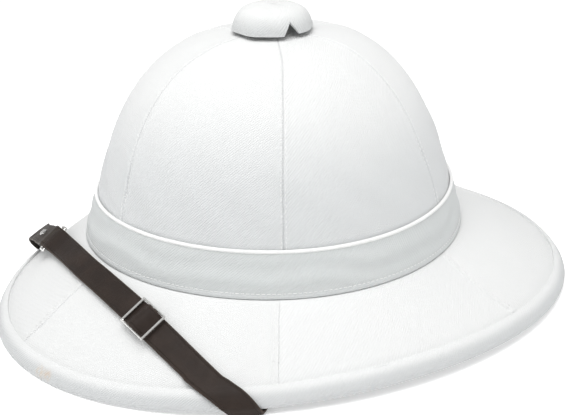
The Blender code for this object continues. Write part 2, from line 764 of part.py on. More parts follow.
def build_link(strap_fold, tab_fold):
    """The wire link that the strap and the tab are folded round."""
    bars = []
    for low, high in (strap_fold, tab_fold):
        below, above = middle(low), middle(high)
        bars.append(((below[0] + above[0]) / 2, below[1]))
    half = STRAP_WIDTH / 2 + 3 * GAP + LINK_WIRE_RADIUS
    corner = LINK_WIRE_RADIUS
    points = []
    for (centre, across), (other, _), way in ((bars[0], bars[1], 1), (bars[1], bars[0], -1)):
        across = across if across.dot(bars[0][1]) > 0 else -across
        set_in = (other - centre).normalized() * corner * LINK_CORNER_SHARE["set_in"]
        points += [
            centre - across * way * (half + corner * LINK_CORNER_SHARE["bulge"]) + set_in,
            centre - across * way * (half - corner * LINK_CORNER_SHARE["tuck"]),
            centre + across * way * (half - corner * LINK_CORNER_SHARE["tuck"]),
            centre + across * way * (half + corner * LINK_CORNER_SHARE["bulge"]) + set_in,
        ]
    wire("strap_link", points, LINK_WIRE_RADIUS, "bright_steel")


def build_buckle():
    """The slide: a flat frame with a middle bar, which the strap goes under, over and under."""
    spots = [top_spot(x) for x in (BUCKLE_X - BUCKLE_LENGTH / 2, BUCKLE_X, BUCKLE_X + BUCKLE_LENGTH / 2)]
    rows = rows_of(spots, [FRAME_HEIGHT] * 3, [0, 0, 0], flip=True)
    centre, across, normal = middle(rows[1])
    along = middle(rows[2])[0] - middle(rows[0])[0]
    along = (along - normal * along.dot(normal)).normalized()
    across = normal.cross(along)
    matrix = axes(centre, along, across, normal)
    inner_width = STRAP_WIDTH + 4 * GAP
    size = (BUCKLE_LENGTH, inner_width + 2 * BUCKLE_SIDE_BAR, BUCKLE_BAR)
    buckle = mesh_object("slide_buckle", block("slide_buckle", size), "bright_steel")
    buckle.matrix_world = matrix
    window = (BUCKLE_LENGTH - BUCKLE_BARS * BUCKLE_BAR) / 2
    for number, side in enumerate((-1, 1)):
        offset = Matrix.Translation((side * (window + BUCKLE_BAR) / 2, 0, 0))
        mesh = block("window", (window, inner_width, 2 * BUCKLE_BAR))
        cut(buckle, cutter(f"window_cutter_{number}", mesh, matrix @ offset))
    edges = buckle.modifiers.new("rounding", "BEVEL")
    edges.width = BUCKLE_BAR * BUCKLE_ROUNDING_SHARE
    edges.segments = 1
    edges.limit_method = "ANGLE"


def clear_scene():
    """Empties the scene and makes the two collections."""
    for obj in list(bpy.data.objects):
        bpy.data.objects.remove(obj, do_unlink=True)
    for name in (COLLECTION, CUTTERS):
        collection = bpy.data.collections.new(name)
        bpy.context.scene.collection.children.link(collection)


clear_scene()
build_crown()
build_brim()
build_band()
build_piping()
build_binding()
build_ventilator()
strap_fold = build_strap()
tab_fold = build_tab()
build_link(strap_fold, tab_fold)
build_buckle()
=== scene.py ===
# A white cloth-covered pith helmet at rest on a pale floor, its leather strap parked over the front brim.
# Metres, +Z up. The wearer faces -Y, and angles go round from the front towards the wearer's left, +X.

import math

import bmesh
import bpy
import numpy as np
from mathutils import Matrix, Vector


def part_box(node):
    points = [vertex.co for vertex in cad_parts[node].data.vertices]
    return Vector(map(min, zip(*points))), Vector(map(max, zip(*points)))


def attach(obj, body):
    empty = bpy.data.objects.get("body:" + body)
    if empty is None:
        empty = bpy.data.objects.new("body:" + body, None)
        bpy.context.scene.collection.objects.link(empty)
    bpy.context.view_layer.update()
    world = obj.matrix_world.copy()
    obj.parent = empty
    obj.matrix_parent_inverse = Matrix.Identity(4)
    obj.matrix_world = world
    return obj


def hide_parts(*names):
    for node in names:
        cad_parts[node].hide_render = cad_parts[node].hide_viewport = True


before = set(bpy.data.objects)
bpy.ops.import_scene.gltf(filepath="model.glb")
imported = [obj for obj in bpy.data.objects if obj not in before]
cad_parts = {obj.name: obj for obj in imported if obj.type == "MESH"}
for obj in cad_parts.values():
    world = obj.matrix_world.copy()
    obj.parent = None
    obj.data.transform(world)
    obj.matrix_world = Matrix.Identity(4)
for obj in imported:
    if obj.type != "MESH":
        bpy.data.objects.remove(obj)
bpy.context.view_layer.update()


# The crown: a pressed pith dome under six gores of white cotton drill. The gores meet in seams that are
# pressed open underneath, so each is a fine groove between two soft ridges, sewn along both sides.
CROWN_FORWARD = 0.00615
CROWN_LEAN = 0.0033
CROWN_SQUARENESS = 3.67
CROWN_SHOULDER = 0.837
CROWN_WALL = 0.003
VENT_HOLE_RADIUS = 0.006
FOOT_RADIUS = {"front": 0.1092, "side": 0.1039, "back": 0.1088}
FOOT_HEIGHT = {"front": 0.0437, "side": 0.0391, "back": 0.0413}
BAND_TOP_RADIUS = {"front": 0.1014, "side": 0.0975, "back": 0.1036}
BAND_WIDTH = 0.0238
BAND_WALL = 0.0012
GAP = 0.0003
CROWN_HEIGHT = 0.1546
CROWN_PEAK = 0.0032
CROWN_PEAK_POWER = 3
CROWN_MEAN_RADIUS = 0.0985
PANELS = 6
PANEL = math.tau / PANELS
COLUMN_STEP = 0.0035
COTTON_WHITE = (0.80, 0.805, 0.80)
COTTON_SHADE = (0.72, 0.735, 0.74)


def ring(angle, sizes):
    """A size that goes smoothly from its front value through its side value to its back value."""
    mean = (sizes["front"] + sizes["back"]) / 4 + sizes["side"] / 2
    oval = (sizes["front"] + sizes["back"]) / 4 - sizes["side"] / 2
    forward = (sizes["front"] - sizes["back"]) / 2
    return mean + forward * np.cos(angle) + oval * np.cos(2 * angle)


def place(angle, radius, height):
    """Points at these angles, radii and heights round the crown's axis."""
    x, y = radius * np.sin(angle), -radius * np.cos(angle) - CROWN_FORWARD
    return np.stack(np.broadcast_arrays(x, y, height), axis=-1)


def crown_face(angle, climb):
    """The dome's outer face: climb is 0 at the piping and pi / 2 at the middle of the top."""
    base_radius = ring(angle, BAND_TOP_RADIUS) - BAND_WALL - GAP
    base_height = ring(angle, FOOT_HEIGHT) + BAND_WIDTH
    share = np.cos(climb) ** (2 / CROWN_SQUARENESS)
    rise = np.sin(climb) ** (2 * CROWN_SHOULDER)
    peak = CROWN_PEAK * (1 - share) ** CROWN_PEAK_POWER
    height = base_height + (CROWN_HEIGHT - CROWN_PEAK - base_height) * rise + peak
    points = place(angle, base_radius * share, height)
    points[..., 1] += CROWN_LEAN * (1 - share)
    return points


def drifted(angle, at, drift):
    """The angle moved by how far its seam wanders at this place. Between two seams it moves with both."""
    straight = np.zeros(len(drift["at"]))
    moves = [drift["front"], drift["front_left"], drift["back_left"], *[straight] * 3, drift["front"]]
    panel, reached = np.broadcast_arrays(np.asarray(angle) / PANEL % PANELS, at)
    seam_before = np.floor(panel).astype(int)
    part = panel - seam_before
    first, second = 0, 0
    for seam in range(PANELS):
        here = seam_before == seam
        first = first + np.interp(reached, drift["at"], moves[seam]) * here
        second = second + np.interp(reached, drift["at"], moves[seam + 1]) * here
    return angle + (first * (1 - part) + second * part) / 1000


def columns(radius, fine):
    """Angles round the helmet, closest together at the seams. Fine holds their distances from a seam."""
    half = PANEL / 2
    offsets = [distance / radius for distance in fine]
    coarse = np.arange(offsets[-1] + COLUMN_STEP / radius, half, COLUMN_STEP / radius)
    one_side = np.array([0.0, *offsets, *coarse])
    panel = np.concatenate([one_side, 2 * half - one_side[:0:-1]])
    return np.concatenate([panel + PANEL * number for number in range(PANELS)])


def from_seam(angle):
    """The signed angle from the nearest panel seam."""
    return (angle + PANEL / 2) % PANEL - PANEL / 2


def normals_of(points):
    """Outward normals of a face that is closed round its columns."""
    down = np.gradient(points, axis=0)
    along = np.roll(points, -1, axis=1) - np.roll(points, 1, axis=1)
    normals = np.cross(down, along)
    return normals / np.maximum(np.linalg.norm(normals, axis=-1, keepdims=True), 1e-12)


def shell(name, points, angles, wall, finish):
    """A closed cloth skin of this wall inside its outer face.

    It stores the lengths along and across its cloth, and each point's distance from a seam and down it.
    """
    rows, count = points.shape[:2]
    inner = points - normals_of(points) * wall
    verts = np.concatenate([points.reshape(-1, 3), inner.reshape(-1, 3)])
    row, col = np.meshgrid(np.arange(rows - 1), np.arange(count), indexing="ij")
    after = (col + 1) % count
    above, below = row * count, (row + 1) * count
    quads = np.stack([above + col, below + col, below + after, above + after], -1).reshape(-1, 4)
    ends = []
    for edge, turned in ((0, False), (rows - 1, True)):
        here, there = edge * count + np.arange(count), edge * count + (np.arange(count) + 1) % count
        strip = np.stack([here, there, there + rows * count, here + rows * count], -1)
        ends.append(strip[:, ::-1] if turned else strip)
    faces = np.concatenate([quads, quads[:, ::-1] + rows * count, *ends])
    mesh = bpy.data.meshes.new(name)
    mesh.from_pydata(verts.tolist(), [], faces.tolist())
    axis = np.array([0, -CROWN_FORWARD, 0])
    radius = np.linalg.norm((points - axis)[..., :2], axis=-1)
    steps = np.linalg.norm(np.diff(points, axis=0), axis=-1)
    down = np.concatenate([np.zeros((1, count)), np.cumsum(steps, axis=0)])
    seam = np.abs(from_seam(angles)) * radius
    for label, values in (("seam", seam), ("down", down)):
        layer = mesh.attributes.new(label, "FLOAT", "POINT")
        layer.data.foreach_set("value", np.tile(values.reshape(-1), 2))
    corner = faces % (rows * count)
    turn = angles[corner % count]
    turn = np.where(turn < turn.max(axis=1, keepdims=True) - math.pi, turn + math.tau, turn)
    centre = (np.floor(turn.mean(axis=1, keepdims=True) / PANEL) + 0.5) * PANEL
    cloth = np.stack([(turn - centre) * radius.reshape(-1)[corner], down.reshape(-1)[corner]], -1)
    mesh.uv_layers.new(name="cloth").data.foreach_set("uv", cloth.reshape(-1))
    mesh.shade_smooth()
    mesh.set_sharp_from_angle(angle=math.radians(50))
    return piece(name, mesh, finish)


def piece(name, data, finish):
    """A shown piece of the helmet with its finish, riding on the helmet's one body."""
    obj = bpy.data.objects.new(name, data)
    bpy.context.scene.collection.objects.link(obj)
    data.materials.append(finish)
    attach(obj, "root")
    return obj


class Value:
    """A value on its way through a material. Sums and products of values add the Math nodes for them."""

    def __init__(self, finish, socket):
        self.finish = finish
        self.socket = socket

    def maths(self, operation, *terms):
        return self.finish.node("ShaderNodeMath", {"operation": operation}, dict(enumerate(terms)))

    def __add__(self, other):
        return self.maths("ADD", self, other)

    def __sub__(self, other):
        return self.maths("SUBTRACT", self, other)

    def __rsub__(self, other):
        return self.maths("SUBTRACT", other, self)

    def __mul__(self, other):
        return self.maths("MULTIPLY", self, other)

    def __abs__(self):
        return self.maths("ABSOLUTE", self)

    __radd__ = __add__
    __rmul__ = __mul__

    def wave(self, length):
        """A sine of this wavelength."""
        return self.maths("SINE", self * (math.tau / length))

    def between(self, low, high):
        """0 below low and 1 above high, with a smooth step between them."""
        settings = {"interpolation_type": "SMOOTHSTEP"}
        return self.finish.node("ShaderNodeMapRange", settings, {0: self, 1: low, 2: high})

    def near(self, middle, half_width):
        """1 at the middle, falling smoothly to 0 at half_width from it."""
        return 1 - abs(self - middle).between(0, half_width)


class Finish:
    """A material on one Principled shader, built node by node."""

    def __init__(self, name, roughness, **uniform):
        self.material = bpy.data.materials.new(name)
        self.material.use_nodes = True
        self.shader = self.material.node_tree.nodes["Principled BSDF"]
        self.feed({"Roughness": roughness})
        self.feed({socket.replace("_", " "): value for socket, value in uniform.items()})

    def node(self, kind, settings=None, inputs=None, output=0):
        """A node of this kind with these settings and inputs, as the value of one of its outputs."""
        node = self.material.node_tree.nodes.new(kind)
        for key, value in (settings or {}).items():
            setattr(node, key, value)
        self.join(node, inputs or {})
        return Value(self, node.outputs[output])

    def join(self, node, inputs):
        """Gives the node's sockets these values or links."""
        for key, value in inputs.items():
            if isinstance(value, Value):
                self.material.node_tree.links.new(value.socket, node.inputs[key])
            else:
                node.inputs[key].default_value = value

    def feed(self, inputs):
        """Gives the shader these values or links."""
        self.join(self.shader, inputs)

    def mix(self, first, second, share):
        """A colour between two others."""
        return self.node("ShaderNodeMix", {"data_type": "RGBA"}, {0: share, 6: first, 7: second}, output=2)

    def noise(self, size, detail=2.0, stretch=(1, 1, 1)):
        """Soft noise from 0 to 1 in the piece's own space, with features of this size."""
        place = self.node("ShaderNodeTexCoord", output=3)
        scaled = self.node("ShaderNodeVectorMath", {"operation": "MULTIPLY"}, {0: place, 1: stretch})
        return self.node("ShaderNodeTexNoise", {}, {"Vector": scaled, "Scale": 1 / size, "Detail": detail})

    def stored(self, label):
        """A number that the mesh holds for each of its points."""
        return self.node("ShaderNodeAttribute", {"attribute_name": label}, output=2)

    def cloth_place(self):
        """Distances along the cloth's two thread directions, in metres."""
        cloth = self.node("ShaderNodeUVMap", {"uv_map": "cloth"})
        apart = {"kind": "ShaderNodeSeparateXYZ", "inputs": {0: cloth}}
        return self.node(**apart), self.node(**apart, output=1)

    def spot(self, centre, reach):
        """1 at a place on the piece, falling to 0 at this distance from it."""
        place = self.node("ShaderNodeTexCoord", output=3)
        settings = {"operation": "DISTANCE"}
        away = self.node("ShaderNodeVectorMath", settings, {0: place, 1: centre}, output=1)
        return 1 - away.between(0, reach)

    def bump(self, height, depth, over=None):
        """A normal that raises height, which goes from 0 to 1, by depth in metres."""
        inputs = {"Height": height, "Distance": depth, "Strength": 1.0}
        if over:
            inputs["Normal"] = over
        return self.node("ShaderNodeBump", {}, inputs)


def colour(rgb):
    return (*rgb, 1.0)


DRILL_PITCH = 0.0011
DRILL_DEPTH = 0.00022
SEAM_SHADE = (0.40, 0.41, 0.42)
SEAM_LINE_WIDTH = 0.0007


def cotton(name, grime=0.35, painted_seam_shade=0.0, lower=None, tint=(1, 1, 1), marks=()):
    """White cotton drill: a fine diagonal rib of two thread directions, faintly uneven in tone.

    Lower is painted shade: where down the cloth it is painted darker, from and to, and how much of its light
    it still gives back there.
    """
    finish = Finish(name, 0.88, Sheen_Weight=0.15, Sheen_Roughness=0.5, Specular_IOR_Level=0.2)
    across, along = finish.cloth_place()
    rib = (across + along).wave(DRILL_PITCH * 1.5) * 0.5 + 0.5
    threads = across.wave(DRILL_PITCH / 2) * 0.25 + along.wave(DRILL_PITCH / 2) * 0.25 + 0.5
    slub = finish.noise(0.004, 3.0, (1, 1, 3))
    weave = rib * 0.55 + threads * 0.45 + slub * 0.3
    tone = finish.noise(0.05, 3.0) * 0.5 + finish.noise(0.009, 2.0) * 0.3 + rib * 0.2
    white, shade = ([part * by for part, by in zip(rgb, tint)] for rgb in (COTTON_WHITE, COTTON_SHADE))
    base = finish.mix(colour(white), colour(shade), tone * grime)
    # Painted shade: the cloth is painted darker down towards its lower part, where less light falls on it.
    if lower:
        painted_shade_colour = [part * lower["light"] for part in shade]
        base = finish.mix(base, colour(painted_shade_colour), finish.stored("down").between(lower["from"], lower["to"]))
    # Painted shade: a dark line painted along each seam's groove.
    if painted_seam_shade:
        line = finish.stored("seam").near(0.0, SEAM_LINE_WIDTH)
        base = finish.mix(base, colour(SEAM_SHADE), line * painted_seam_shade)
    for mark in marks:
        spot = finish.spot(mark["place"], mark["reach"])
        patchy = finish.noise(mark["reach"] / 3).between(0.3, 0.6)
        base = finish.mix(base, colour(mark["colour"]), spot * patchy * mark["strength"])
    soft = finish.bump(finish.noise(0.03, 2.0), 0.0006)
    finish.feed({"Base Color": base, "Normal": finish.bump(weave, DRILL_DEPTH, soft)})
    finish.feed({"Roughness": 0.82 + finish.noise(0.02) * 0.12})
    return finish.material


SEAM_GROOVE = {"depth": 0.00045, "width": 0.00045}
SEAM_RIDGES = {"height": 0.00032, "aside": 0.0017, "width": 0.0016}


def hump(value, middle, width):
    """1 at the middle, falling off softly on both sides of it."""
    return np.exp(-(((value - middle) / width) ** 2))


def seam_relief(distance):
    """How far the cloth stands up this far from an open seam."""
    groove = -SEAM_GROOVE["depth"] * hump(distance, 0, SEAM_GROOVE["width"])
    ridges = SEAM_RIDGES["height"] * hump(np.abs(distance), SEAM_RIDGES["aside"], SEAM_RIDGES["width"])
    return groove + ridges


RING_LENGTH = 0.65
NOISE_WAVES = 7


def unevenness(angles, down, look):
    """Gentle unevenness over a skin that closes round, from its height, size and seed."""
    random = np.random.default_rng(look["seed"])
    total = 0.0
    for _ in range(NOISE_WAVES):
        turns = random.integers(1, max(2, int(RING_LENGTH / look["size"])))
        rate = random.uniform(-1, 1) * math.tau / look["size"]
        total = total + np.sin(angles[None, :] * turns + down * rate + random.uniform(0, math.tau))
    return look["height"] * (total / NOISE_WAVES)


# How far the seams in view wander, in mm for each metre of radius, at these radii
CROWN_DRIFT = {
    "at": (0.022, 0.045, 0.060, 0.080, 0.090, 0.100),
    "front": (25, 60, 62, 55, 75, 95),
    "front_left": (150, 125, 93, 61, 46, 34),
    "back_left": (60, 65, 40, 65, 63, 85),
}


def crown_radius_at(climb):
    """The crown's mean radius at this climb."""
    return CROWN_MEAN_RADIUS * np.cos(climb) ** (2 / CROWN_SQUARENESS)


CROWN_COLUMNS_RADIUS = 0.1
CROWN_FINE_COLUMNS = (0.0003, 0.0006, 0.0009, 0.0013, 0.0018, 0.0025, 0.0034, 0.0046, 0.0065, 0.009)
CROWN_ROWS = 96
UNDER_BAND_SHARES = (0.25, 0.5, 0.75, 1.0)
SEAMS_FADE = {"from": 0.012, "over": 0.02}
CROWN_UNEVEN = {"height": 0.00018, "size": 0.045, "seed": 4}
CREASES = {"height": 0.088, "spread": 0.022, "depth": 0.00028, "slant": 0.85, "spacing": 0.031}
crown_angles = columns(CROWN_COLUMNS_RADIUS, CROWN_FINE_COLUMNS)
hole_share = VENT_HOLE_RADIUS / CROWN_MEAN_RADIUS
top_climb = math.acos(hole_share ** (CROWN_SQUARENESS / 2))
climbs = np.linspace(top_climb, 0, CROWN_ROWS)[:, None]
crown_turns = drifted(crown_angles[None, :], crown_radius_at(climbs), CROWN_DRIFT)
crown_points = crown_face(crown_turns, climbs)
foot_turns = crown_turns[-1]
foot_radius = ring(foot_turns, FOOT_RADIUS) - BAND_WALL - GAP
foot_height = ring(foot_turns, FOOT_HEIGHT)
lean_in = (ring(foot_turns, FOOT_RADIUS) - ring(foot_turns, BAND_TOP_RADIUS)) / BAND_WIDTH
clear = CROWN_WALL * lean_in + 2 * GAP
crown_foot = place(foot_turns, foot_radius - clear * lean_in, foot_height + clear)
under_band = [crown_points[-1] + (crown_foot - crown_points[-1]) * share for share in UNDER_BAND_SHARES]
crown_points = np.concatenate([crown_points, np.stack(under_band)])
crown_radius = np.linalg.norm(crown_points[..., :2] + np.array([0, CROWN_FORWARD]), axis=-1)
relief = seam_relief(from_seam(crown_angles)[None, :] * crown_radius)
relief = relief * np.clip((crown_radius - SEAMS_FADE["from"]) / SEAMS_FADE["over"], 0, 1)
relief[-len(UNDER_BAND_SHARES) - 1:] = 0
heights = crown_points[..., 2]
relief += unevenness(crown_angles, heights, CROWN_UNEVEN)
crease = crown_angles[None, :] * CROWN_COLUMNS_RADIUS * CREASES["slant"] + heights
creased = hump(heights, CREASES["height"], CREASES["spread"])
relief += CREASES["depth"] * creased * np.sin(crease * math.tau / CREASES["spacing"])
crown_points = crown_points + normals_of(crown_points) * relief[..., None]
# The crown's cloth is painted darker towards the band as painted shade of its lower part, and its seams carry
# painted shade.
crown_cotton = cotton("crown_cotton", painted_seam_shade=0.34, lower={"from": 0.065, "to": 0.125, "light": 0.92})
crown = shell("crown_cloth", crown_points, crown_angles, CROWN_WALL, crown_cotton)
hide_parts("crown")


# The crown's stitching: white thread in two rows along each seam, one on either side of the groove. Each is a
# short bead of thread that dips into its needle holes.
STITCH_PITCH = 0.0027
STITCH_LENGTH = 0.0019
STITCH_ASIDE = 0.0013
STITCH_RAISE = 0.00022
THREAD_RADIUS = 0.00017
THREAD_SIDES = 6
THREAD_WHITE = (0.86, 0.86, 0.85)
# Along a stitch: share of its length, and of the thread's radius that it is wide and stands up there
STITCH_SHAPE = (
    {"along": -0.5, "width": 0.25, "lift": -1.0},
    {"along": -0.36, "width": 0.85, "lift": 0.15},
    {"along": 0.0, "width": 1.0, "lift": 0.55},
    {"along": 0.36, "width": 0.85, "lift": 0.15},
    {"along": 0.5, "width": 0.25, "lift": -1.0},
)


def at_reach(values, reached, reach):
    """The row of these values at this length along their line."""
    return np.array([np.interp(reach, reached, column) for column in values.T])


def stitches(name, lines, length=STITCH_LENGTH, radius=THREAD_RADIUS):
    """One piece of thread stitches along lines, each a pair of arrays: points on the cloth and normals."""
    verts, faces = [], []
    for points, normals in lines:
        steps = np.linalg.norm(np.diff(points, axis=0), axis=1)
        reached = np.concatenate([[0], np.cumsum(steps)])
        for start in np.arange(STITCH_PITCH / 2, reached[-1] - STITCH_PITCH / 2, STITCH_PITCH):
            centre, normal = at_reach(points, reached, start), at_reach(normals, reached, start)
            ahead = at_reach(points, reached, start + length / 2)
            along = (ahead - centre) / np.linalg.norm(ahead - centre)
            side = np.cross(normal, along)
            first = len(verts)
            for shape in STITCH_SHAPE:
                middle = centre + along * shape["along"] * length + normal * shape["lift"] * radius
                for number in range(THREAD_SIDES):
                    turn = math.tau * number / THREAD_SIDES
                    outward = side * math.cos(turn) + normal * math.sin(turn)
                    verts.append(middle + radius * shape["width"] * outward)
            for section in range(len(STITCH_SHAPE) - 1):
                low = first + section * THREAD_SIDES
                for number in range(THREAD_SIDES):
                    a, b = low + number, low + (number + 1) % THREAD_SIDES
                    faces.append((a, b, b + THREAD_SIDES, a + THREAD_SIDES))
            last = first + (len(STITCH_SHAPE) - 1) * THREAD_SIDES
            faces.append(tuple(first + number for number in reversed(range(THREAD_SIDES))))
            faces.append(tuple(last + number for number in range(THREAD_SIDES)))
    mesh = bpy.data.meshes.new(name)
    mesh.from_pydata([vert.tolist() for vert in verts], [], faces)
    mesh.shade_smooth()
    return piece(name, mesh, white_thread.material)


def line_on(face, angles, rows):
    """A line over a face from its angles and its rows, with the face's normals along it."""
    step = 1e-4
    points = face(angles, rows)
    round_it = face(angles + step, rows) - points
    down_it = face(angles, rows + step) - points
    normals = np.cross(round_it, down_it)
    outward = points - np.array([0, -CROWN_FORWARD, 0.03])
    normals *= np.sign((normals * outward).sum(axis=-1, keepdims=True))
    return points, normals / np.linalg.norm(normals, axis=-1, keepdims=True)


def seamed_crown(angle, climb):
    """The dome's outer face, its angles moved with the seams."""
    return crown_face(drifted(angle, crown_radius_at(climb), CROWN_DRIFT), climb)


white_thread = Finish("white_thread", 0.7, Sheen_Weight=0.2)
twist = white_thread.noise(0.0006, 1.0)
thread_colour = white_thread.mix(colour(THREAD_WHITE), colour(COTTON_SHADE), twist * 0.5)
white_thread.feed({"Base Color": thread_colour, "Normal": white_thread.bump(twist, 0.0001)})
seam_climbs = np.linspace(0.03, 1.46, 160)
crown_lines = []
for number in range(PANELS):
    for side in (-STITCH_ASIDE, STITCH_ASIDE):
        seam = crown_face(np.full(len(seam_climbs), number * PANEL), seam_climbs)
        reach = np.maximum(np.linalg.norm(seam[:, :2], axis=1), 0.02)
        points, normals = line_on(seamed_crown, number * PANEL + side / reach, seam_climbs)
        crown_lines.append((points + normals * STITCH_RAISE, normals))
stitches("crown_stitches", crown_lines)


# The brim: pith board under six panels of the same drill, with a collar that stands up inside the crown. Its
# panel seams are pressed to one side, so a narrow raised strip runs beside each seam down to the binding.
RIM_RADIUS = {"front": 0.1645, "side": 0.1457, "back": 0.1768}
SIDE_RISE = 0.005
RISE_SHAPE = 1.5
REST_ARC = math.radians(12)
BRIM_WALL = 0.003
BRIM_DROOP = 1.12
COLLAR_HEIGHT = 0.012
BINDING_INSET = 0.006
BINDING_HEIGHT = 0.0096
EDGE_TOP_SHARE = 0.81
EDGE_SHARES = ((0.60, 0.58), (0.43, 0.385))
STRIP_WIDTH = 0.0034
STRIP_LIFT = 0.0006
STRIP_EDGE = {"free": 0.00018, "sewn": 0.00012}
STRIP_STITCHES = (-0.0006, -0.0027)
# How far the seams in view wander, in mm for each metre of radius, at these shares of the brim's width
BRIM_DRIFT = {
    "at": (0.0, 0.3, 0.55, 0.75, 1.0),
    "front": (40, 32, 17, 12, -12),
    "front_left": (3, -5, -8, -12, -15),
    "back_left": (4, -26, -28, -17, 11),
}


def rim_rise(angle):
    """How far the rim is off the floor: nothing at the front and back, most at the sides."""
    turn = np.abs((angle + math.pi) % math.tau - math.pi)
    from_tip = np.minimum(turn, math.pi - turn)
    share = np.maximum(0.0, (from_tip - REST_ARC) / (math.pi / 2 - REST_ARC))
    return SIDE_RISE * np.sin(share * math.pi / 2) ** RISE_SHAPE


def rim_place(angle, inset, height):
    """Radius and height at the rim, from shares of the binding's inset and height."""
    return ring(angle, RIM_RADIUS) - inset * BINDING_INSET, rim_rise(angle) + height * BINDING_HEIGHT


def brim_place(angle, share):
    """Radius and height of the brim's upper face, from the band (0) to the binding's upper edge (1)."""
    foot = ring(angle, FOOT_RADIUS), ring(angle, FOOT_HEIGHT)
    edge = rim_place(angle, 1.0, EDGE_TOP_SHARE)
    return foot[0] + (edge[0] - foot[0]) * share, foot[1] - (foot[1] - edge[1]) * share**BRIM_DROOP


def brim_face(angle, share):
    return place(angle, *brim_place(angle, share))


def seamed_brim(angle, share):
    """The brim's upper face, its angles moved with the seams."""
    return brim_face(drifted(angle, share, BRIM_DRIFT), share)


BRIM_COLUMNS_RADIUS = 0.13
BRIM_FINE_COLUMNS = (
    0.0002, 0.0005, 0.0008, 0.0012, 0.0018, 0.0026, 0.0031, 0.0036, 0.0041, 0.005, 0.0065, 0.009,
)
BRIM_ROWS = 44
BRIM_GROOVE = 0.0003
BRIM_UNEVEN = {"height": 0.00015, "size": 0.03, "seed": 9, "width": 0.06}
# The raised tuck beside the back left seam, where its strip goes under the binding
TUCK = {"height": 0.0009, "seam": 2, "aside": -0.004, "width": 0.004, "share": 0.955, "reach": 0.022}
brim_angles = columns(BRIM_COLUMNS_RADIUS, BRIM_FINE_COLUMNS)
shares = np.linspace(0, 1, BRIM_ROWS)[:, None]
brim_turns = drifted(brim_angles[None, :], shares, BRIM_DRIFT)
flare = brim_face(brim_turns, shares)
inner_turns, outer_turns = brim_turns[0], brim_turns[-1]
lean = (ring(inner_turns, FOOT_RADIUS) - ring(inner_turns, BAND_TOP_RADIUS)) * COLLAR_HEIGHT / BAND_WIDTH
inside = BAND_WALL + GAP + CROWN_WALL * 1.1 + GAP
foot_radius, foot_height = ring(inner_turns, FOOT_RADIUS), ring(inner_turns, FOOT_HEIGHT)
collar = [place(inner_turns, foot_radius - lean - inside, foot_height + COLLAR_HEIGHT),
          place(inner_turns, foot_radius - inside, foot_height + GAP)]
edge = [place(outer_turns, *rim_place(outer_turns, *shape)) for shape in EDGE_SHARES]
brim_radius = np.linalg.norm(flare[..., :2] + np.array([0, CROWN_FORWARD]), axis=-1)
offset = from_seam(brim_angles)[None, :] * brim_radius
free_edge = 1 / (1 + np.exp(-(offset + STRIP_WIDTH) / STRIP_EDGE["free"]))
strip = free_edge / (1 + np.exp(offset / STRIP_EDGE["sewn"]))
relief = STRIP_LIFT * strip - BRIM_GROOVE * hump(offset, 0, BRIM_GROOVE)
relief += unevenness(brim_angles, shares * BRIM_UNEVEN["width"], BRIM_UNEVEN)
tuck_seam = np.abs(brim_angles - TUCK["seam"] * PANEL)[None, :] < PANEL / 2
tuck = hump(offset, TUCK["aside"], TUCK["width"]) * hump(shares, TUCK["share"], TUCK["reach"])
relief += TUCK["height"] * tuck * tuck_seam
relief *= np.clip(shares / 0.04, 0, 1) * np.clip((1 - shares) / 0.03, 0, 1)
flare = flare + normals_of(flare) * relief[..., None]
brim_points = np.concatenate([np.stack(collar), flare, np.stack(edge)])
SPECKS = (
    {"place": (0.1130, -0.0760, 0.0203), "reach": 0.0011, "colour": (0.16, 0.16, 0.17), "strength": 0.9},
    {"place": (0.1143, -0.0745, 0.0199), "reach": 0.0009, "colour": (0.20, 0.20, 0.21), "strength": 0.8},
)
# The brim's seams carry a fainter painted shade line.
brim_cotton = cotton("brim_cotton", painted_seam_shade=0.12, marks=SPECKS)
brim = shell("brim_cloth", brim_points, brim_angles, BRIM_WALL, brim_cotton)
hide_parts("brim")

strip_shares = np.linspace(0.03, 0.97, 90)
brim_lines = []
for number in range(PANELS):
    for side in STRIP_STITCHES:
        radius = brim_place(number * PANEL, strip_shares)[0]
        points, normals = line_on(seamed_brim, number * PANEL + side / radius, strip_shares)
        brim_lines.append((points + normals * STRIP_LIFT, normals))
stitches("brim_stitches", brim_lines)


# The band: a strip of drill folded along its lower edge and sewn round the foot of the crown. It goes round a
# cone, so it ripples softly along its length.
BAND_SWELL = 0.0006
PIPING_RADIUS = 0.0009
BAND_RIPPLE = 0.00038
BAND_WAVES = (
    {"height": 0.55, "turns": 2, "start": 0.7},
    {"height": 0.3, "turns": 5, "start": 2.0},
    {"height": 0.2, "turns": 11, "start": 0.0},
)
BAND_UNEVEN = {"height": 0.6, "size": 0.018, "seed": 21}
HEM = {"fold": 0.95, "fold_width": 0.035, "sewn": 0.885, "sewn_width": 0.02, "relief": 0.00025}
HEM_STITCHES = {"length": 0.0021, "radius": 0.00022, "sunk": 0.00015}


def band_face(angle, down):
    """The band's outer face: down is 0 just under the piping and 1 just above the brim."""
    highest = 1 - PIPING_RADIUS * 0.55 / BAND_WIDTH
    lowest = 2 * GAP / BAND_WIDTH
    share = highest + (lowest - highest) * down
    foot, top = ring(angle, FOOT_RADIUS), ring(angle, BAND_TOP_RADIUS)
    radius = foot + (top - foot) * share + BAND_SWELL * np.sin(math.pi * down)
    return place(angle, radius, ring(angle, FOOT_HEIGHT) + BAND_WIDTH * share)


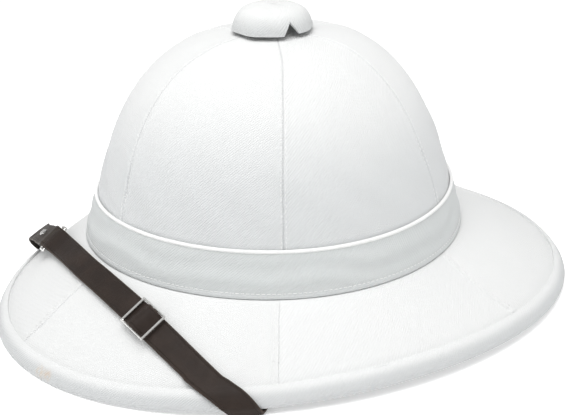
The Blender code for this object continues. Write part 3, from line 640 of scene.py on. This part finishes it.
band_angles = np.linspace(0, math.tau, 300, endpoint=False)
downs = np.linspace(0, 1, 34)[:, None]
band_points = band_face(band_angles[None, :], downs)
wander = sum(wave["height"] * np.sin(wave["turns"] * band_angles + wave["start"]) for wave in BAND_WAVES)
ripple = np.sin(math.tau * (downs * 1.7 + wander[None, :] * 0.5)) * np.sin(math.pi * downs)
ripple += unevenness(band_angles, downs * BAND_WIDTH, BAND_UNEVEN) * np.sin(math.pi * downs)
hem = HEM["relief"] * hump(downs, HEM["fold"], HEM["fold_width"])
hem = hem - HEM["relief"] * hump(downs, HEM["sewn"], HEM["sewn_width"])
band_points = band_points + normals_of(band_points) * (BAND_RIPPLE * ripple + hem)[..., None]
band_cotton = cotton("band_cotton", grime=0.5, tint=(0.79, 0.81, 0.81))
band = shell("band_cloth", band_points, band_angles, BAND_WALL, band_cotton)
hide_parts("band")

hem_angles = np.linspace(0, math.tau, 700)
points, normals = line_on(band_face, hem_angles, np.full(len(hem_angles), HEM["sewn"]))
hem_line = (points - normals * HEM_STITCHES["sunk"], normals)
stitches("band_stitches", [hem_line], HEM_STITCHES["length"], HEM_STITCHES["radius"])


# The piping: a cord in a bias strip of white cotton, caught along the band's upper edge all round the crown.
# It is one closed ring.
# The piping is white cord, painted whiter than the other cotton as a painted highlight along it.
PIPING_WHITE_AND_HIGHLIGHT = (0.88, 0.88, 0.87)
piping_angles = np.linspace(0, math.tau, 240, endpoint=False)
piping_points = place(piping_angles, ring(piping_angles, BAND_TOP_RADIUS) - BAND_WALL + PIPING_RADIUS,
                      ring(piping_angles, FOOT_HEIGHT) + BAND_WIDTH)


def cord_ring(name, points, radius, finish):
    """A round cord along these points, closed into a ring."""
    curve = bpy.data.curves.new(name, "CURVE")
    curve.dimensions = "3D"
    curve.bevel_depth = radius
    curve.bevel_resolution = 4
    spline = curve.splines.new("POLY")
    spline.points.add(len(points) - 1)
    for spot, point in zip(spline.points, points):
        spot.co = (*point, 1)
    spline.use_cyclic_u = True
    spline.use_smooth = True
    return piece(name, curve, finish)


piping_finish = Finish("piping_cotton", 0.85, Sheen_Weight=0.15)
bias = piping_finish.noise(0.0012, 2.0)
piping_finish.feed({"Base Color": piping_finish.mix(colour(PIPING_WHITE_AND_HIGHLIGHT), colour(COTTON_WHITE), bias)})
piping_finish.feed({"Normal": piping_finish.bump(bias, 0.0002)})
piping = cord_ring("piping_cord", piping_points, PIPING_RADIUS + GAP / 3, piping_finish.material)
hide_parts("piping")


# The rim binding: a wide bias tape of drill folded over the brim's edge and sewn through. The helmet rests on
# it. It is pulled tight round a padded edge, so it is smooth on top and round at the rim.
BINDING_WALL = 0.001
BINDING_SHARES = (
    {"inset": 1.00, "height": 1.00},
    {"inset": 0.55, "height": 0.80},
    {"inset": 0.20, "height": 0.51},
    {"inset": 0.00, "height": 0.23},
    {"inset": 0.10, "height": 0.00},
    {"inset": 0.73, "height": 0.00},
    {"inset": 1.05, "height": 0.125},
    {"inset": 1.50, "height": 0.48},
)
# The tape's own edge lies on the brim, thin and a little inside the binding's
TAPE_SHARES = (
    {"inset": 1.16, "height": 0.83},
    {"inset": 1.09, "height": 0.985},
    *BINDING_SHARES,
)
TAPE_PULL = {"height": 0.00012, "size": 0.012, "seed": 33, "depth": 0.004, "full_at": 0.3}
TAPE_TOP_ROWS = 30


def smooth_table(rows, keys, per_row):
    """The columns of a table as smooth curves through its rows, sampled per_row times between rows."""
    values = np.array([[row[key] for key in keys] for row in rows])
    padded = np.concatenate([2 * values[:1] - values[1:2], values, 2 * values[-1:] - values[-2:-1]])
    sampled = []
    for before, start, end, after in zip(padded, padded[1:], padded[2:], padded[3:]):
        for share in np.arange(per_row) / per_row:
            ways = (end - before) / 2, (after - start) / 2
            swing = share * share * (3 - 2 * share)
            pull = ways[0] * share * (1 - share) ** 2 - ways[1] * share * share * (1 - share)
            sampled.append(start + (end - start) * swing + pull)
    return np.array([*sampled, values[-1]])


binding_shape = smooth_table(TAPE_SHARES, ("inset", "height"), 5)
binding_shape[:, 1] = np.maximum(binding_shape[:, 1], 0)
binding_angles = np.linspace(0, math.tau, 360, endpoint=False)
binding_points = place(binding_angles[None, :],
                       *rim_place(binding_angles[None, :], binding_shape[:, :1], binding_shape[:, 1:]))
pull = unevenness(binding_angles, binding_shape[:, :1] * TAPE_PULL["depth"], TAPE_PULL)
top_rows = np.arange(len(binding_shape))[:, None] < TAPE_TOP_ROWS
on_top = np.clip(binding_shape[:, 1:] / TAPE_PULL["full_at"], 0, 1) * top_rows
binding_points = binding_points + normals_of(binding_points) * (pull * on_top)[..., None]
STAINS = (
    {"place": (0.0270, -0.1668, 0.0045), "reach": 0.0055, "colour": (0.66, 0.52, 0.38), "strength": 0.55},
    {"place": (0.0330, -0.1652, 0.0049), "reach": 0.0045, "colour": (0.62, 0.46, 0.32), "strength": 0.6},
)
# Painted shade: the binding is painted darker round its rounded edge and underside.
painted_rim_shade = {"from": 0.0035, "to": 0.0095, "light": 0.83}
binding_cotton = cotton("binding_cotton", grime=0.45, lower=painted_rim_shade, marks=STAINS)
binding = shell("binding_tape", binding_points, binding_angles, BINDING_WALL, binding_cotton)
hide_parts("rim_binding")


# The ventilator cap: a small shell covered in drill over the crown's vent hole, on a short stem. The cloth is
# drawn over it in flat folds, which leave eight soft sides. A notch in its skirt lets the air out.
CAP_RADIUS = 0.0225
CAP_HEIGHT = 0.0127
CAP_WALL = 0.0015
CAP_NOTCH_WIDTH = 0.0100
CAP_NOTCH_HEIGHT = 0.0070
CAP_NOTCH_ANGLE = math.radians(88)
CAP_FOLDS = {"count": 8, "depth": 0.016, "level": 0.4}
CAP_SHARES = (
    {"radius": 0.00, "height": 1.00},
    {"radius": 0.42, "height": 0.985},
    {"radius": 0.64, "height": 0.90},
    {"radius": 0.80, "height": 0.74},
    {"radius": 0.90, "height": 0.52},
    {"radius": 0.96, "height": 0.28},
    {"radius": 1.00, "height": 0.00},
)
cap_shape = smooth_table(CAP_SHARES, ("radius", "height"), 8)
cap_shape[:, 0] = np.maximum(cap_shape[:, 0], 0.004)
near_notch = np.linspace(-1.15, 1.15, 47) * CAP_NOTCH_WIDTH / 2 / CAP_RADIUS
round_back = np.linspace(near_notch[-1], math.tau + near_notch[0], 110)[1:-1]
cap_angles = CAP_NOTCH_ANGLE + np.concatenate([near_notch, round_back])
from_notch = np.abs((cap_angles - CAP_NOTCH_ANGLE + math.pi) % math.tau - math.pi)
lip = np.maximum(0, 1 - from_notch / (CAP_NOTCH_WIDTH / 2 / CAP_RADIUS)) * CAP_NOTCH_HEIGHT / CAP_HEIGHT
order = np.argsort(cap_shape[:, 1])
end_row = np.interp(lip, cap_shape[order, 1], order)
row_at = np.linspace(0, 1, 44)[:, None] * end_row[None, :]
cap_radius = np.interp(row_at, np.arange(len(cap_shape)), cap_shape[:, 0]) * CAP_RADIUS
cap_height = np.interp(row_at, np.arange(len(cap_shape)), cap_shape[:, 1]) * CAP_HEIGHT
fold_turns = CAP_FOLDS["count"] * (cap_angles[None, :] - CAP_NOTCH_ANGLE + PANEL / 4)
folds = 1 + CAP_FOLDS["depth"] * (np.cos(fold_turns) - CAP_FOLDS["level"]) * (cap_radius / CAP_RADIUS)
cap_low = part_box("ventilator_cap")[0][2]
cap_points = place(cap_angles[None, :] % math.tau, cap_radius * folds, cap_height + cap_low)
cap_points[..., 1] += CROWN_LEAN
# Painted shade: the cap is painted darker down its skirt.
painted_skirt_shade = {"from": 0.015, "to": 0.028, "light": 0.88}
cap_cotton = cotton("cap_cotton", grime=0.55, lower=painted_skirt_shade, tint=(1, 1, 0.995))
cap = shell("cap_cloth", cap_points, cap_angles % math.tau, CAP_WALL, cap_cotton)
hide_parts("ventilator_cap")


# The chin strap: one long strap of brown leather and a short tab of it, joined by a wire link. Both lie over
# the brim, go round its edge and run under it to studs on the collar. They follow the surface, lifted off it.
STRAP_WIDTH = 0.0138
STRAP_THICKNESS = 0.0013
STRAP_FRONT = 0.1172
STRAP_SWEEP = {"buckle": 0.0172, "tab": 0.0184}
STRAP_SWEEP_POWER = {"buckle": 2.0, "tab": 1.6}
STRAP_SWEEP_AT = 0.110
STRAP_END_CLIMB = 0.8
LAYER_SETTLE = 0.012
RIM_SLACK = 0.0007
RIM_TURN_LENGTH = 0.032
SKEW_LENGTH = 0.040
LINK_X = -0.0570
LINK_WIRE_RADIUS = 0.0009
LINK_SPACING = 0.0060
BRIDGE_LIFT = 0.0063
BRIDGE_X = -0.1050
BRIDGE_LENGTH = 0.075
TAB_UNDERLAP_X = -0.0950
BUCKLE_X = 0.0575
BUCKLE_LENGTH = 0.0196
BUCKLE_BAR = 0.0014
UPPER_SHARES = (0.0, 0.3, 0.6, 0.88)
UPPER_EDGE = len(UPPER_SHARES)
OUTERMOST = UPPER_EDGE + 3
LOW_LAYER = GAP + STRAP_THICKNESS / 2
HIGH_LAYER = LOW_LAYER + STRAP_THICKNESS + GAP
FOLD_RADIUS = LINK_WIRE_RADIUS + 2 * GAP + STRAP_THICKNESS / 2
FOLD_TOP = LOW_LAYER + 2 * FOLD_RADIUS
FRAME_HEIGHT = HIGH_LAYER + STRAP_THICKNESS / 2 + 2 * GAP + BUCKLE_BAR / 2
OVER_BAR = FRAME_HEIGHT + BUCKLE_BAR / 2 + 2 * GAP + STRAP_THICKNESS / 2
RIM_LIFT = LOW_LAYER + RIM_SLACK
TAB_FOLD_X = LINK_X - LINK_SPACING
# Across the strap: share of its half width, and how much of its thickness is left there
EDGE_ROUND = (
    {"across": -1.0, "thick": 0.45},
    {"across": -0.965, "thick": 0.85},
    {"across": -0.90, "thick": 1.0},
    {"across": -0.5, "thick": 1.0},
    {"across": 0.0, "thick": 1.0},
    {"across": 0.5, "thick": 1.0},
    {"across": 0.90, "thick": 1.0},
    {"across": 0.965, "thick": 0.85},
    {"across": 1.0, "thick": 0.45},
)
MIDDLE = len(EDGE_ROUND) // 2


def moved_out(points, distance):
    """A line of (radius, height) points moved to its outer side, at the same distance round its corners."""
    points = [Vector(point) for point in points]
    moved = []
    for i, point in enumerate(points):
        pairs = ((points[max(i - 1, 0)], point), (point, points[min(i + 1, len(points) - 1)]))
        sides = [(b - a).normalized() for a, b in pairs if (b - a).length > 1e-9]
        normals = [Vector((-side.y, side.x)) for side in sides]
        normal = sum(normals, Vector((0, 0))).normalized()
        moved.append(point + normal * distance / max(normal.dot(normals[0]), 0.6))
    return moved


def outline(angle):
    """What the strap lies on: the brim's upper face, the binding, the lower face and the collar's inside."""
    upper = [brim_place(angle, share) for share in UPPER_SHARES]
    rim = [rim_place(angle, shape["inset"], shape["height"]) for shape in BINDING_SHARES]
    foot = ring(angle, FOOT_RADIUS), ring(angle, FOOT_HEIGHT)
    top = foot[0] + (ring(angle, BAND_TOP_RADIUS) - foot[0]) * COLLAR_HEIGHT / BAND_WIDTH
    rows = [(top - inside, foot[1] + COLLAR_HEIGHT), (foot[0] - inside, foot[1] + GAP)]
    rows += [brim_place(angle, share) for share in (0.0, 0.25, 0.5, 0.75, 1.0)]
    lower = moved_out(rows, -BRIM_WALL - GAP)[:6]
    return upper + rim + [tuple(point) for point in reversed(lower)]


def run_of(angle, lift):
    """The lifted outline's points, and how far along it each lies from the rim's outermost point."""
    points = moved_out(outline(angle), lift)
    run = [0.0]
    for before, after in zip(points, points[1:]):
        run.append(run[-1] + (after - before).length)
    return points, [distance - run[OUTERMOST] for distance in run]


def stretch_at(runs, run):
    """The number of the outline's stretch that this run lies on."""
    i = 0
    while i < len(runs) - 2 and runs[i + 1] < run:
        i += 1
    return i


def on_outline(angle, run, lift):
    """The point this far along the outline from the rim's outermost point, lifted off it."""
    guide_run = run_of(angle, STRAP_THICKNESS)[1]
    points = moved_out(outline(angle), lift)
    i = stretch_at(guide_run, run)
    share = (run - guide_run[i]) / (guide_run[i + 1] - guide_run[i])
    radius, height = points[i].lerp(points[i + 1], share)
    return Vector(place(angle, radius, height))


def radius_at(angle, run):
    """How far this place on the outline is from the crown's axis."""
    point = on_outline(angle, run, STRAP_THICKNESS)
    return math.hypot(point.x, point.y + CROWN_FORWARD)


def top_spot(x):
    """(angle, run) of the parked strap's centre line at this x on the brim's upper face."""
    side = "buckle" if x > 0 else "tab"
    y = -STRAP_FRONT + STRAP_SWEEP[side] * (abs(x) / STRAP_SWEEP_AT) ** STRAP_SWEEP_POWER[side]
    angle, radius = math.atan2(x, -y), math.hypot(x, y)
    points, run = run_of(angle, STRAP_THICKNESS)
    for i in range(OUTERMOST):
        if points[i].x <= radius <= points[i + 1].x:
            share = (radius - points[i].x) / (points[i + 1].x - points[i].x)
            return angle, run[i] + (run[i + 1] - run[i]) * share
    return angle, run[OUTERMOST]


def spread(start, end, count):
    """This many evenly spaced numbers, both ends included."""
    return [start + (end - start) * i / (count - 1) for i in range(count)]


def edge_x(side):
    """The x at which the strap's centre line comes to the binding's upper edge."""
    x = FOOT_RADIUS["side"] * 0.8
    while True:
        angle, run = top_spot(side * x)
        if run >= run_of(angle, STRAP_THICKNESS)[1][UPPER_EDGE]:
            return side * x
        x += STRAP_THICKNESS / 4


def ease(share):
    """A smooth step from 0 to 1."""
    share = min(max(share, 0.0), 1.0)
    return share * share * (3 - 2 * share)


def round_rim(side):
    """Spots that carry the strap on from the binding's upper edge, under the brim and up the collar."""
    last = edge_x(side)
    before, after = top_spot(last - side * STRAP_WIDTH / 2), top_spot(last)
    slant = (after[0] - before[0]) * radius_at(*after) / (after[1] - before[1])
    angle, run = after
    runs = run_of(angle, STRAP_THICKNESS)[1]
    top = runs[-1] - COLLAR_HEIGHT * (1 - STRAP_END_CLIMB)
    start = run
    marks = runs[UPPER_EDGE:-1] + [top]
    targets = []
    for low, high in zip(marks, marks[1:]):
        targets += spread(low, high, 4)[1:]
    spots = []
    origin = angle
    for target in targets:
        share = ease((target - start) / RIM_TURN_LENGTH)
        angle += slant * (1 - share) * (target - run) / radius_at(angle, run)
        run = target
        spots.append((angle, level_run(origin, run, angle)))
    return spots


def level_run(angle, run, other):
    """The run at another angle that lies on the same stretch of the outline, at the same share of it."""
    here, there = run_of(angle, STRAP_THICKNESS)[1], run_of(other, STRAP_THICKNESS)[1]
    i = stretch_at(here, run)
    return there[i] + (there[i + 1] - there[i]) * (run - here[i]) / (here[i + 1] - here[i])


def rows_of(spots, lifts, skews):
    """For each spot, the points across the strap on its upper face and on its lower face.

    A skew of 0 lays the points square across the strap, and 1 lays them level along the rim.
    """
    rows = []
    for i, ((angle, run), lift, skew) in enumerate(zip(spots, lifts, skews)):
        before, after = spots[max(i - 1, 0)], spots[min(i + 1, len(spots) - 1)]
        round_ring = (after[0] - before[0]) * radius_at(angle, run)
        along = Vector((round_ring, after[1] - before[1])).normalized()
        across = Vector((-along.y, along.x))
        if skew:
            across -= along * skew * along.x / along.y
        row = []
        for face in (0.5, -0.5):
            points = []
            for shape in EDGE_ROUND:
                aside = shape["across"] * STRAP_WIDTH / 2
                turn = angle + across.x * aside / radius_at(angle, run)
                reached = run + across.y * aside + skew * (level_run(angle, run, turn) - run)
                lifted = lift + face * STRAP_THICKNESS * shape["thick"]
                points.append(on_outline(turn, reached, lifted))
            row.append(points)
        rows.append(row)
    return rows


def bridge(x):
    """How much of its full lift the strap has here, where it spans clear of the brim to the rim."""
    return math.cos(min(abs(x - BRIDGE_X) / BRIDGE_LENGTH, 1.0) * math.pi / 2) ** 2


def rows_on_top(xs, lifts):
    """The strap's rows over the brim at these x."""
    skews = [ease((abs(x) - abs(edge_x(1)) + SKEW_LENGTH) / SKEW_LENGTH) for x in xs]
    return rows_of([top_spot(x) for x in xs], lifts, skews)


def joined_rows(xs, lifts, side):
    """The strap's rows over the brim at these x, then on round the rim and up to its end."""
    spots, rim = [top_spot(x) for x in xs], round_rim(side)
    spare, start = lifts[-1] - RIM_LIFT, spots[-1][1]
    rim_lifts = [RIM_LIFT + spare * (1 - ease((run - start) / (0 - start))) for _, run in rim]
    skews = [ease((abs(x) - abs(xs[-1]) + SKEW_LENGTH) / SKEW_LENGTH) for x in xs] + [1] * len(rim)
    return rows_of(spots + rim, lifts + rim_lifts, skews)


def centre_of(row):
    """(centre, direction across, normal from the lower face to the upper one) of a row."""
    upper, lower = row
    across = (upper[-1] - upper[0]).normalized()
    normal = upper[MIDDLE] - lower[MIDDLE]
    return (upper[MIDDLE] + lower[MIDDLE]) / 2, across, (normal - across * normal.dot(across)).normalized()


def folded(low, high):
    """One strap's rows: the lower layer, a half turn round the link and the upper layer, faces matched."""
    low = [(lower, upper) for upper, lower in low]
    towards = (centre_of(low[-1])[0] - centre_of(low[-2])[0]).normalized()
    turned = []
    flipped = centre_of(low[-1])[1].dot(centre_of(high[0])[1]) < 0
    high = [(upper[::-1], lower[::-1]) if flipped else (upper, lower) for upper, lower in high]
    for turn in [math.pi * i / 14 for i in range(1, 14)]:
        row = []
        for below, above in zip(low[-1], high[0]):
            points = []
            for start, end in zip(below, above):
                arm = (end - start) / 2
                middle = (start + end) / 2
                points.append(middle - arm * math.cos(turn) + towards * arm.length * math.sin(turn))
            row.append(points)
        turned.append(tuple(row))
    return low + turned + high


def fold_rise(distance):
    """How much higher the upper layer lies this far from its fold round the link."""
    return (FOLD_TOP - HIGH_LAYER) * (1 - ease(distance / LAYER_SETTLE))


def upper_lift(x):
    """Height of the strap's upper layer over the brim, from the link through the slide and beyond it."""
    reach = BUCKLE_LENGTH / 2 - BUCKLE_BAR
    bulge = math.cos(min(abs(x - BUCKLE_X) / reach, 1.0) * math.pi / 2) ** 2
    single = ease((x - BUCKLE_X - BUCKLE_LENGTH * 0.6) / LAYER_SETTLE)
    lift = HIGH_LAYER + fold_rise(x - LINK_X) + (OVER_BAR - HIGH_LAYER) * bulge
    return lift + BRIDGE_LIFT * bridge(x) - (HIGH_LAYER - RIM_LIFT) * single


def tab_lift(x):
    """Height of the tab's upper layer over the brim."""
    return HIGH_LAYER + fold_rise(TAB_FOLD_X - x) + BRIDGE_LIFT * bridge(x)


def leather_piece(name, rows, finish):
    """A closed leather strap from its rows, with lengths along and across it in its UV map."""
    rings = [outer + inner[::-1] for outer, inner in rows]
    count, wide = len(rings[0]), len(EDGE_ROUND)
    verts = [tuple(point) for line in rings for point in line]
    faces = []
    for i in range(len(rings) - 1):
        for j in range(count):
            k = (j + 1) % count
            faces.append((i * count + j, i * count + k, (i + 1) * count + k, (i + 1) * count + j))
    for first in (0, (len(rings) - 1) * count):
        for j in range(wide - 1):
            faces.append((first + j, first + j + 1, first + count - 2 - j, first + count - 1 - j))
    mesh = bpy.data.meshes.new(name)
    mesh.from_pydata(verts, [], faces)
    reached = [0.0]
    for before, after in zip(rows, rows[1:]):
        reached.append(reached[-1] + (centre_of(after)[0] - centre_of(before)[0]).length)
    across = [shape["across"] * STRAP_WIDTH / 2 for shape in EDGE_ROUND]
    for label, values in (("along", [reached[i // count] for i in range(len(verts))]),
                          ("across", [(across + across[::-1])[i % count] for i in range(len(verts))])):
        mesh.attributes.new(label, "FLOAT", "POINT").data.foreach_set("value", values)
    shape = bmesh.new()
    shape.from_mesh(mesh)
    bmesh.ops.recalc_face_normals(shape, faces=shape.faces)
    shape.to_mesh(mesh)
    shape.free()
    mesh.shade_smooth()
    mesh.set_sharp_from_angle(angle=math.radians(60))
    return piece(name, mesh, finish)


def leather(name, dark, pale, worn):
    """Brown strap leather: fine grain, a pressed line along both edges, and cut edges rubbed paler."""
    finish = Finish(name, 0.5, Specular_IOR_Level=0.3)
    across, along = finish.stored("across"), finish.stored("along")
    grain = finish.node("ShaderNodeTexVoronoi", {"feature": "DISTANCE_TO_EDGE"},
                        {"Vector": finish.node("ShaderNodeTexCoord", output=3), "Scale": 1400})
    mottle = finish.noise(0.012, 4.0)
    fibres = finish.noise(0.0014, 3.0)
    edge = abs(across).between(STRAP_WIDTH * 0.44, STRAP_WIDTH * 0.5)
    base = finish.mix(colour(dark), colour(pale), mottle.between(0.35, 0.75) * 0.6 + fibres * 0.25)
    base = finish.mix(base, colour(worn), edge * (0.35 + fibres * 0.5))
    pressed = abs(across).near(STRAP_WIDTH * 0.405, 0.0005)
    height = grain.between(0.0, 0.12) * 0.5 + fibres * 0.3 + along.wave(0.017) * 0.05
    normal = finish.bump(height, 0.00012, finish.bump(1 - pressed, 0.00025, finish.bump(mottle, 0.0008)))
    finish.feed({"Base Color": base, "Normal": normal, "Roughness": 0.40 + fibres * 0.2 + mottle * 0.1})
    return finish.material


strap_leather = leather("strap_leather", dark=(0.015, 0.008, 0.005), pale=(0.033, 0.020, 0.014),
                        worn=(0.070, 0.048, 0.036))
low_xs = spread(BUCKLE_X, LINK_X, 30)
start, end = BUCKLE_X - BUCKLE_LENGTH / 2, BUCKLE_X + BUCKLE_LENGTH / 2
high_xs = spread(LINK_X, start, 40) + spread(start, end, 25)[1:] + spread(end, edge_x(1), 30)[1:]
low_rows = rows_on_top(low_xs, [LOW_LAYER + BRIDGE_LIFT * bridge(x) for x in low_xs])
high_rows = joined_rows(high_xs, [upper_lift(x) for x in high_xs], 1)
strap_rows = folded(low_rows, high_rows)
strap = leather_piece("strap_leather", strap_rows, strap_leather)
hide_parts("strap")


# The tab: a short strap of the same leather, painted a greyer brown as a painted reflection of the pale
# surroundings, folded round the link and riveted. Its other end goes over the rim as the strap's does.
# Painted reflection: the tab's colours are greyer than the strap's, for the pale surroundings its tilted face
# reflects.
tab_leather = leather("tab_leather", dark=(0.030, 0.022, 0.017), pale=(0.058, 0.046, 0.037),
                      worn=(0.105, 0.088, 0.072))
tab_low_xs = spread(TAB_UNDERLAP_X, TAB_FOLD_X, 16)
tab_low_lifts = [tab_lift(x) - fold_rise(TAB_FOLD_X - x) - (HIGH_LAYER - LOW_LAYER) for x in tab_low_xs]
tab_high_xs = spread(TAB_FOLD_X, edge_x(-1), 26)
tab_low_rows = rows_on_top(tab_low_xs, tab_low_lifts)
tab_high_rows = joined_rows(tab_high_xs, [tab_lift(x) for x in tab_high_xs], -1)
tab_rows = folded(tab_low_rows, tab_high_rows)
tab = leather_piece("tab_leather", tab_rows, tab_leather)
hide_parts("strap_tab")


# The metal: the strap's plated wire link, slide with a hidden middle bar, domed rivet and two plain studs,
# and the stem under the cap. All are bright, with fine rubbing marks.
METAL_NODES = ("ventilator_stem", "tab_rivet", "strap_stud_left", "strap_stud_right", "strap_link",
               "slide_buckle")
steel = Finish("plated_steel", 0.2, Metallic=1.0)
rubbed = steel.noise(0.0015, 4.0, (1, 6, 1))
steel.feed({"Base Color": steel.mix(colour((0.90, 0.90, 0.88)), colour((0.74, 0.73, 0.71)), rubbed)})
steel.feed({"Roughness": 0.18 + rubbed * 0.15, "Normal": steel.bump(rubbed, 0.00001)})
for node in METAL_NODES:
    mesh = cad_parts[node].data
    mesh.materials.clear()
    mesh.materials.append(steel.material)


# The studio: a pale floor under soft light from a wide panel overhead, and the camera at the photograph's
# angle. The floor glows a little, so that it stays pale to its far edge.
CAMERA_AZIMUTH = math.radians(59.131)
CAMERA_ELEVATION = math.radians(22.615)
CAMERA_DISTANCE = 0.81964
CAMERA_AIM = Vector((0.00301, -0.00096, 0.04803))
CAMERA_ROLL = math.radians(-2.035)
CAMERA_LENS = 89.945
FLOOR_SIZE = 6.0

back = Vector((math.sin(CAMERA_AZIMUTH) * math.cos(CAMERA_ELEVATION),
               -math.cos(CAMERA_AZIMUTH) * math.cos(CAMERA_ELEVATION), math.sin(CAMERA_ELEVATION)))
level = Vector((math.cos(CAMERA_AZIMUTH), math.sin(CAMERA_AZIMUTH), 0))
upright = back.cross(level)
right = level * math.cos(CAMERA_ROLL) + upright * math.sin(CAMERA_ROLL)
top = upright * math.cos(CAMERA_ROLL) - level * math.sin(CAMERA_ROLL)
camera = bpy.data.objects.new("camera", bpy.data.cameras.new("camera"))
camera.data.lens = CAMERA_LENS
camera.data.sensor_width = 36
camera.matrix_world = Matrix((right, top, back)).transposed().to_4x4()
camera.location = CAMERA_AIM + back * CAMERA_DISTANCE
bpy.context.scene.collection.objects.link(camera)
bpy.context.scene.camera = camera

floor_mesh = bpy.data.meshes.new("floor")
corners = [(x * FLOOR_SIZE, y * FLOOR_SIZE, 0) for x, y in ((-1, -1), (1, -1), (1, 1), (-1, 1))]
floor_mesh.from_pydata(corners, [], [(0, 1, 2, 3)])
floor = bpy.data.objects.new("floor", floor_mesh)
floor_finish = Finish("floor_paint", 0.9)
floor_finish.feed({"Base Color": colour((0.9, 0.9, 0.9))})
floor_finish.feed({"Emission Color": colour((1, 1, 1)), "Emission Strength": 0.3})
floor_mesh.materials.append(floor_finish.material)
bpy.context.scene.collection.objects.link(floor)

world = bpy.data.worlds.new("studio")
world.use_nodes = True
world.node_tree.nodes["Background"].inputs["Color"].default_value = (1.0, 1.0, 1.0, 1)
world.node_tree.nodes["Background"].inputs["Strength"].default_value = 0.47
bpy.context.scene.world = world

LIGHTS = (
    {"name": "overhead", "size": 1.2, "power": 18.4, "place": (0.25, -0.28, 1.45), "aim": (0, 0, 0.05)},
    {"name": "side", "size": 0.7, "power": 1.6, "place": (-0.3, -1.2, 0.8), "aim": (0, 0, 0.08)},
    {"name": "right", "size": 0.8, "power": 2.2, "place": (1.0, 0.9, 0.7), "aim": (0, 0, 0.06)},
)
for row in LIGHTS:
    lamp = bpy.data.lights.new(row["name"], "AREA")
    lamp.size = row["size"]
    lamp.energy = row["power"]
    obj = bpy.data.objects.new(row["name"], lamp)
    obj.location = row["place"]
    obj.rotation_euler = (Vector(row["aim"]) - Vector(row["place"])).to_track_quat("-Z", "Y").to_euler()
    bpy.context.scene.collection.objects.link(obj)

bpy.context.scene.view_settings.view_transform = "Standard"
bpy.context.scene.view_settings.look = "None"
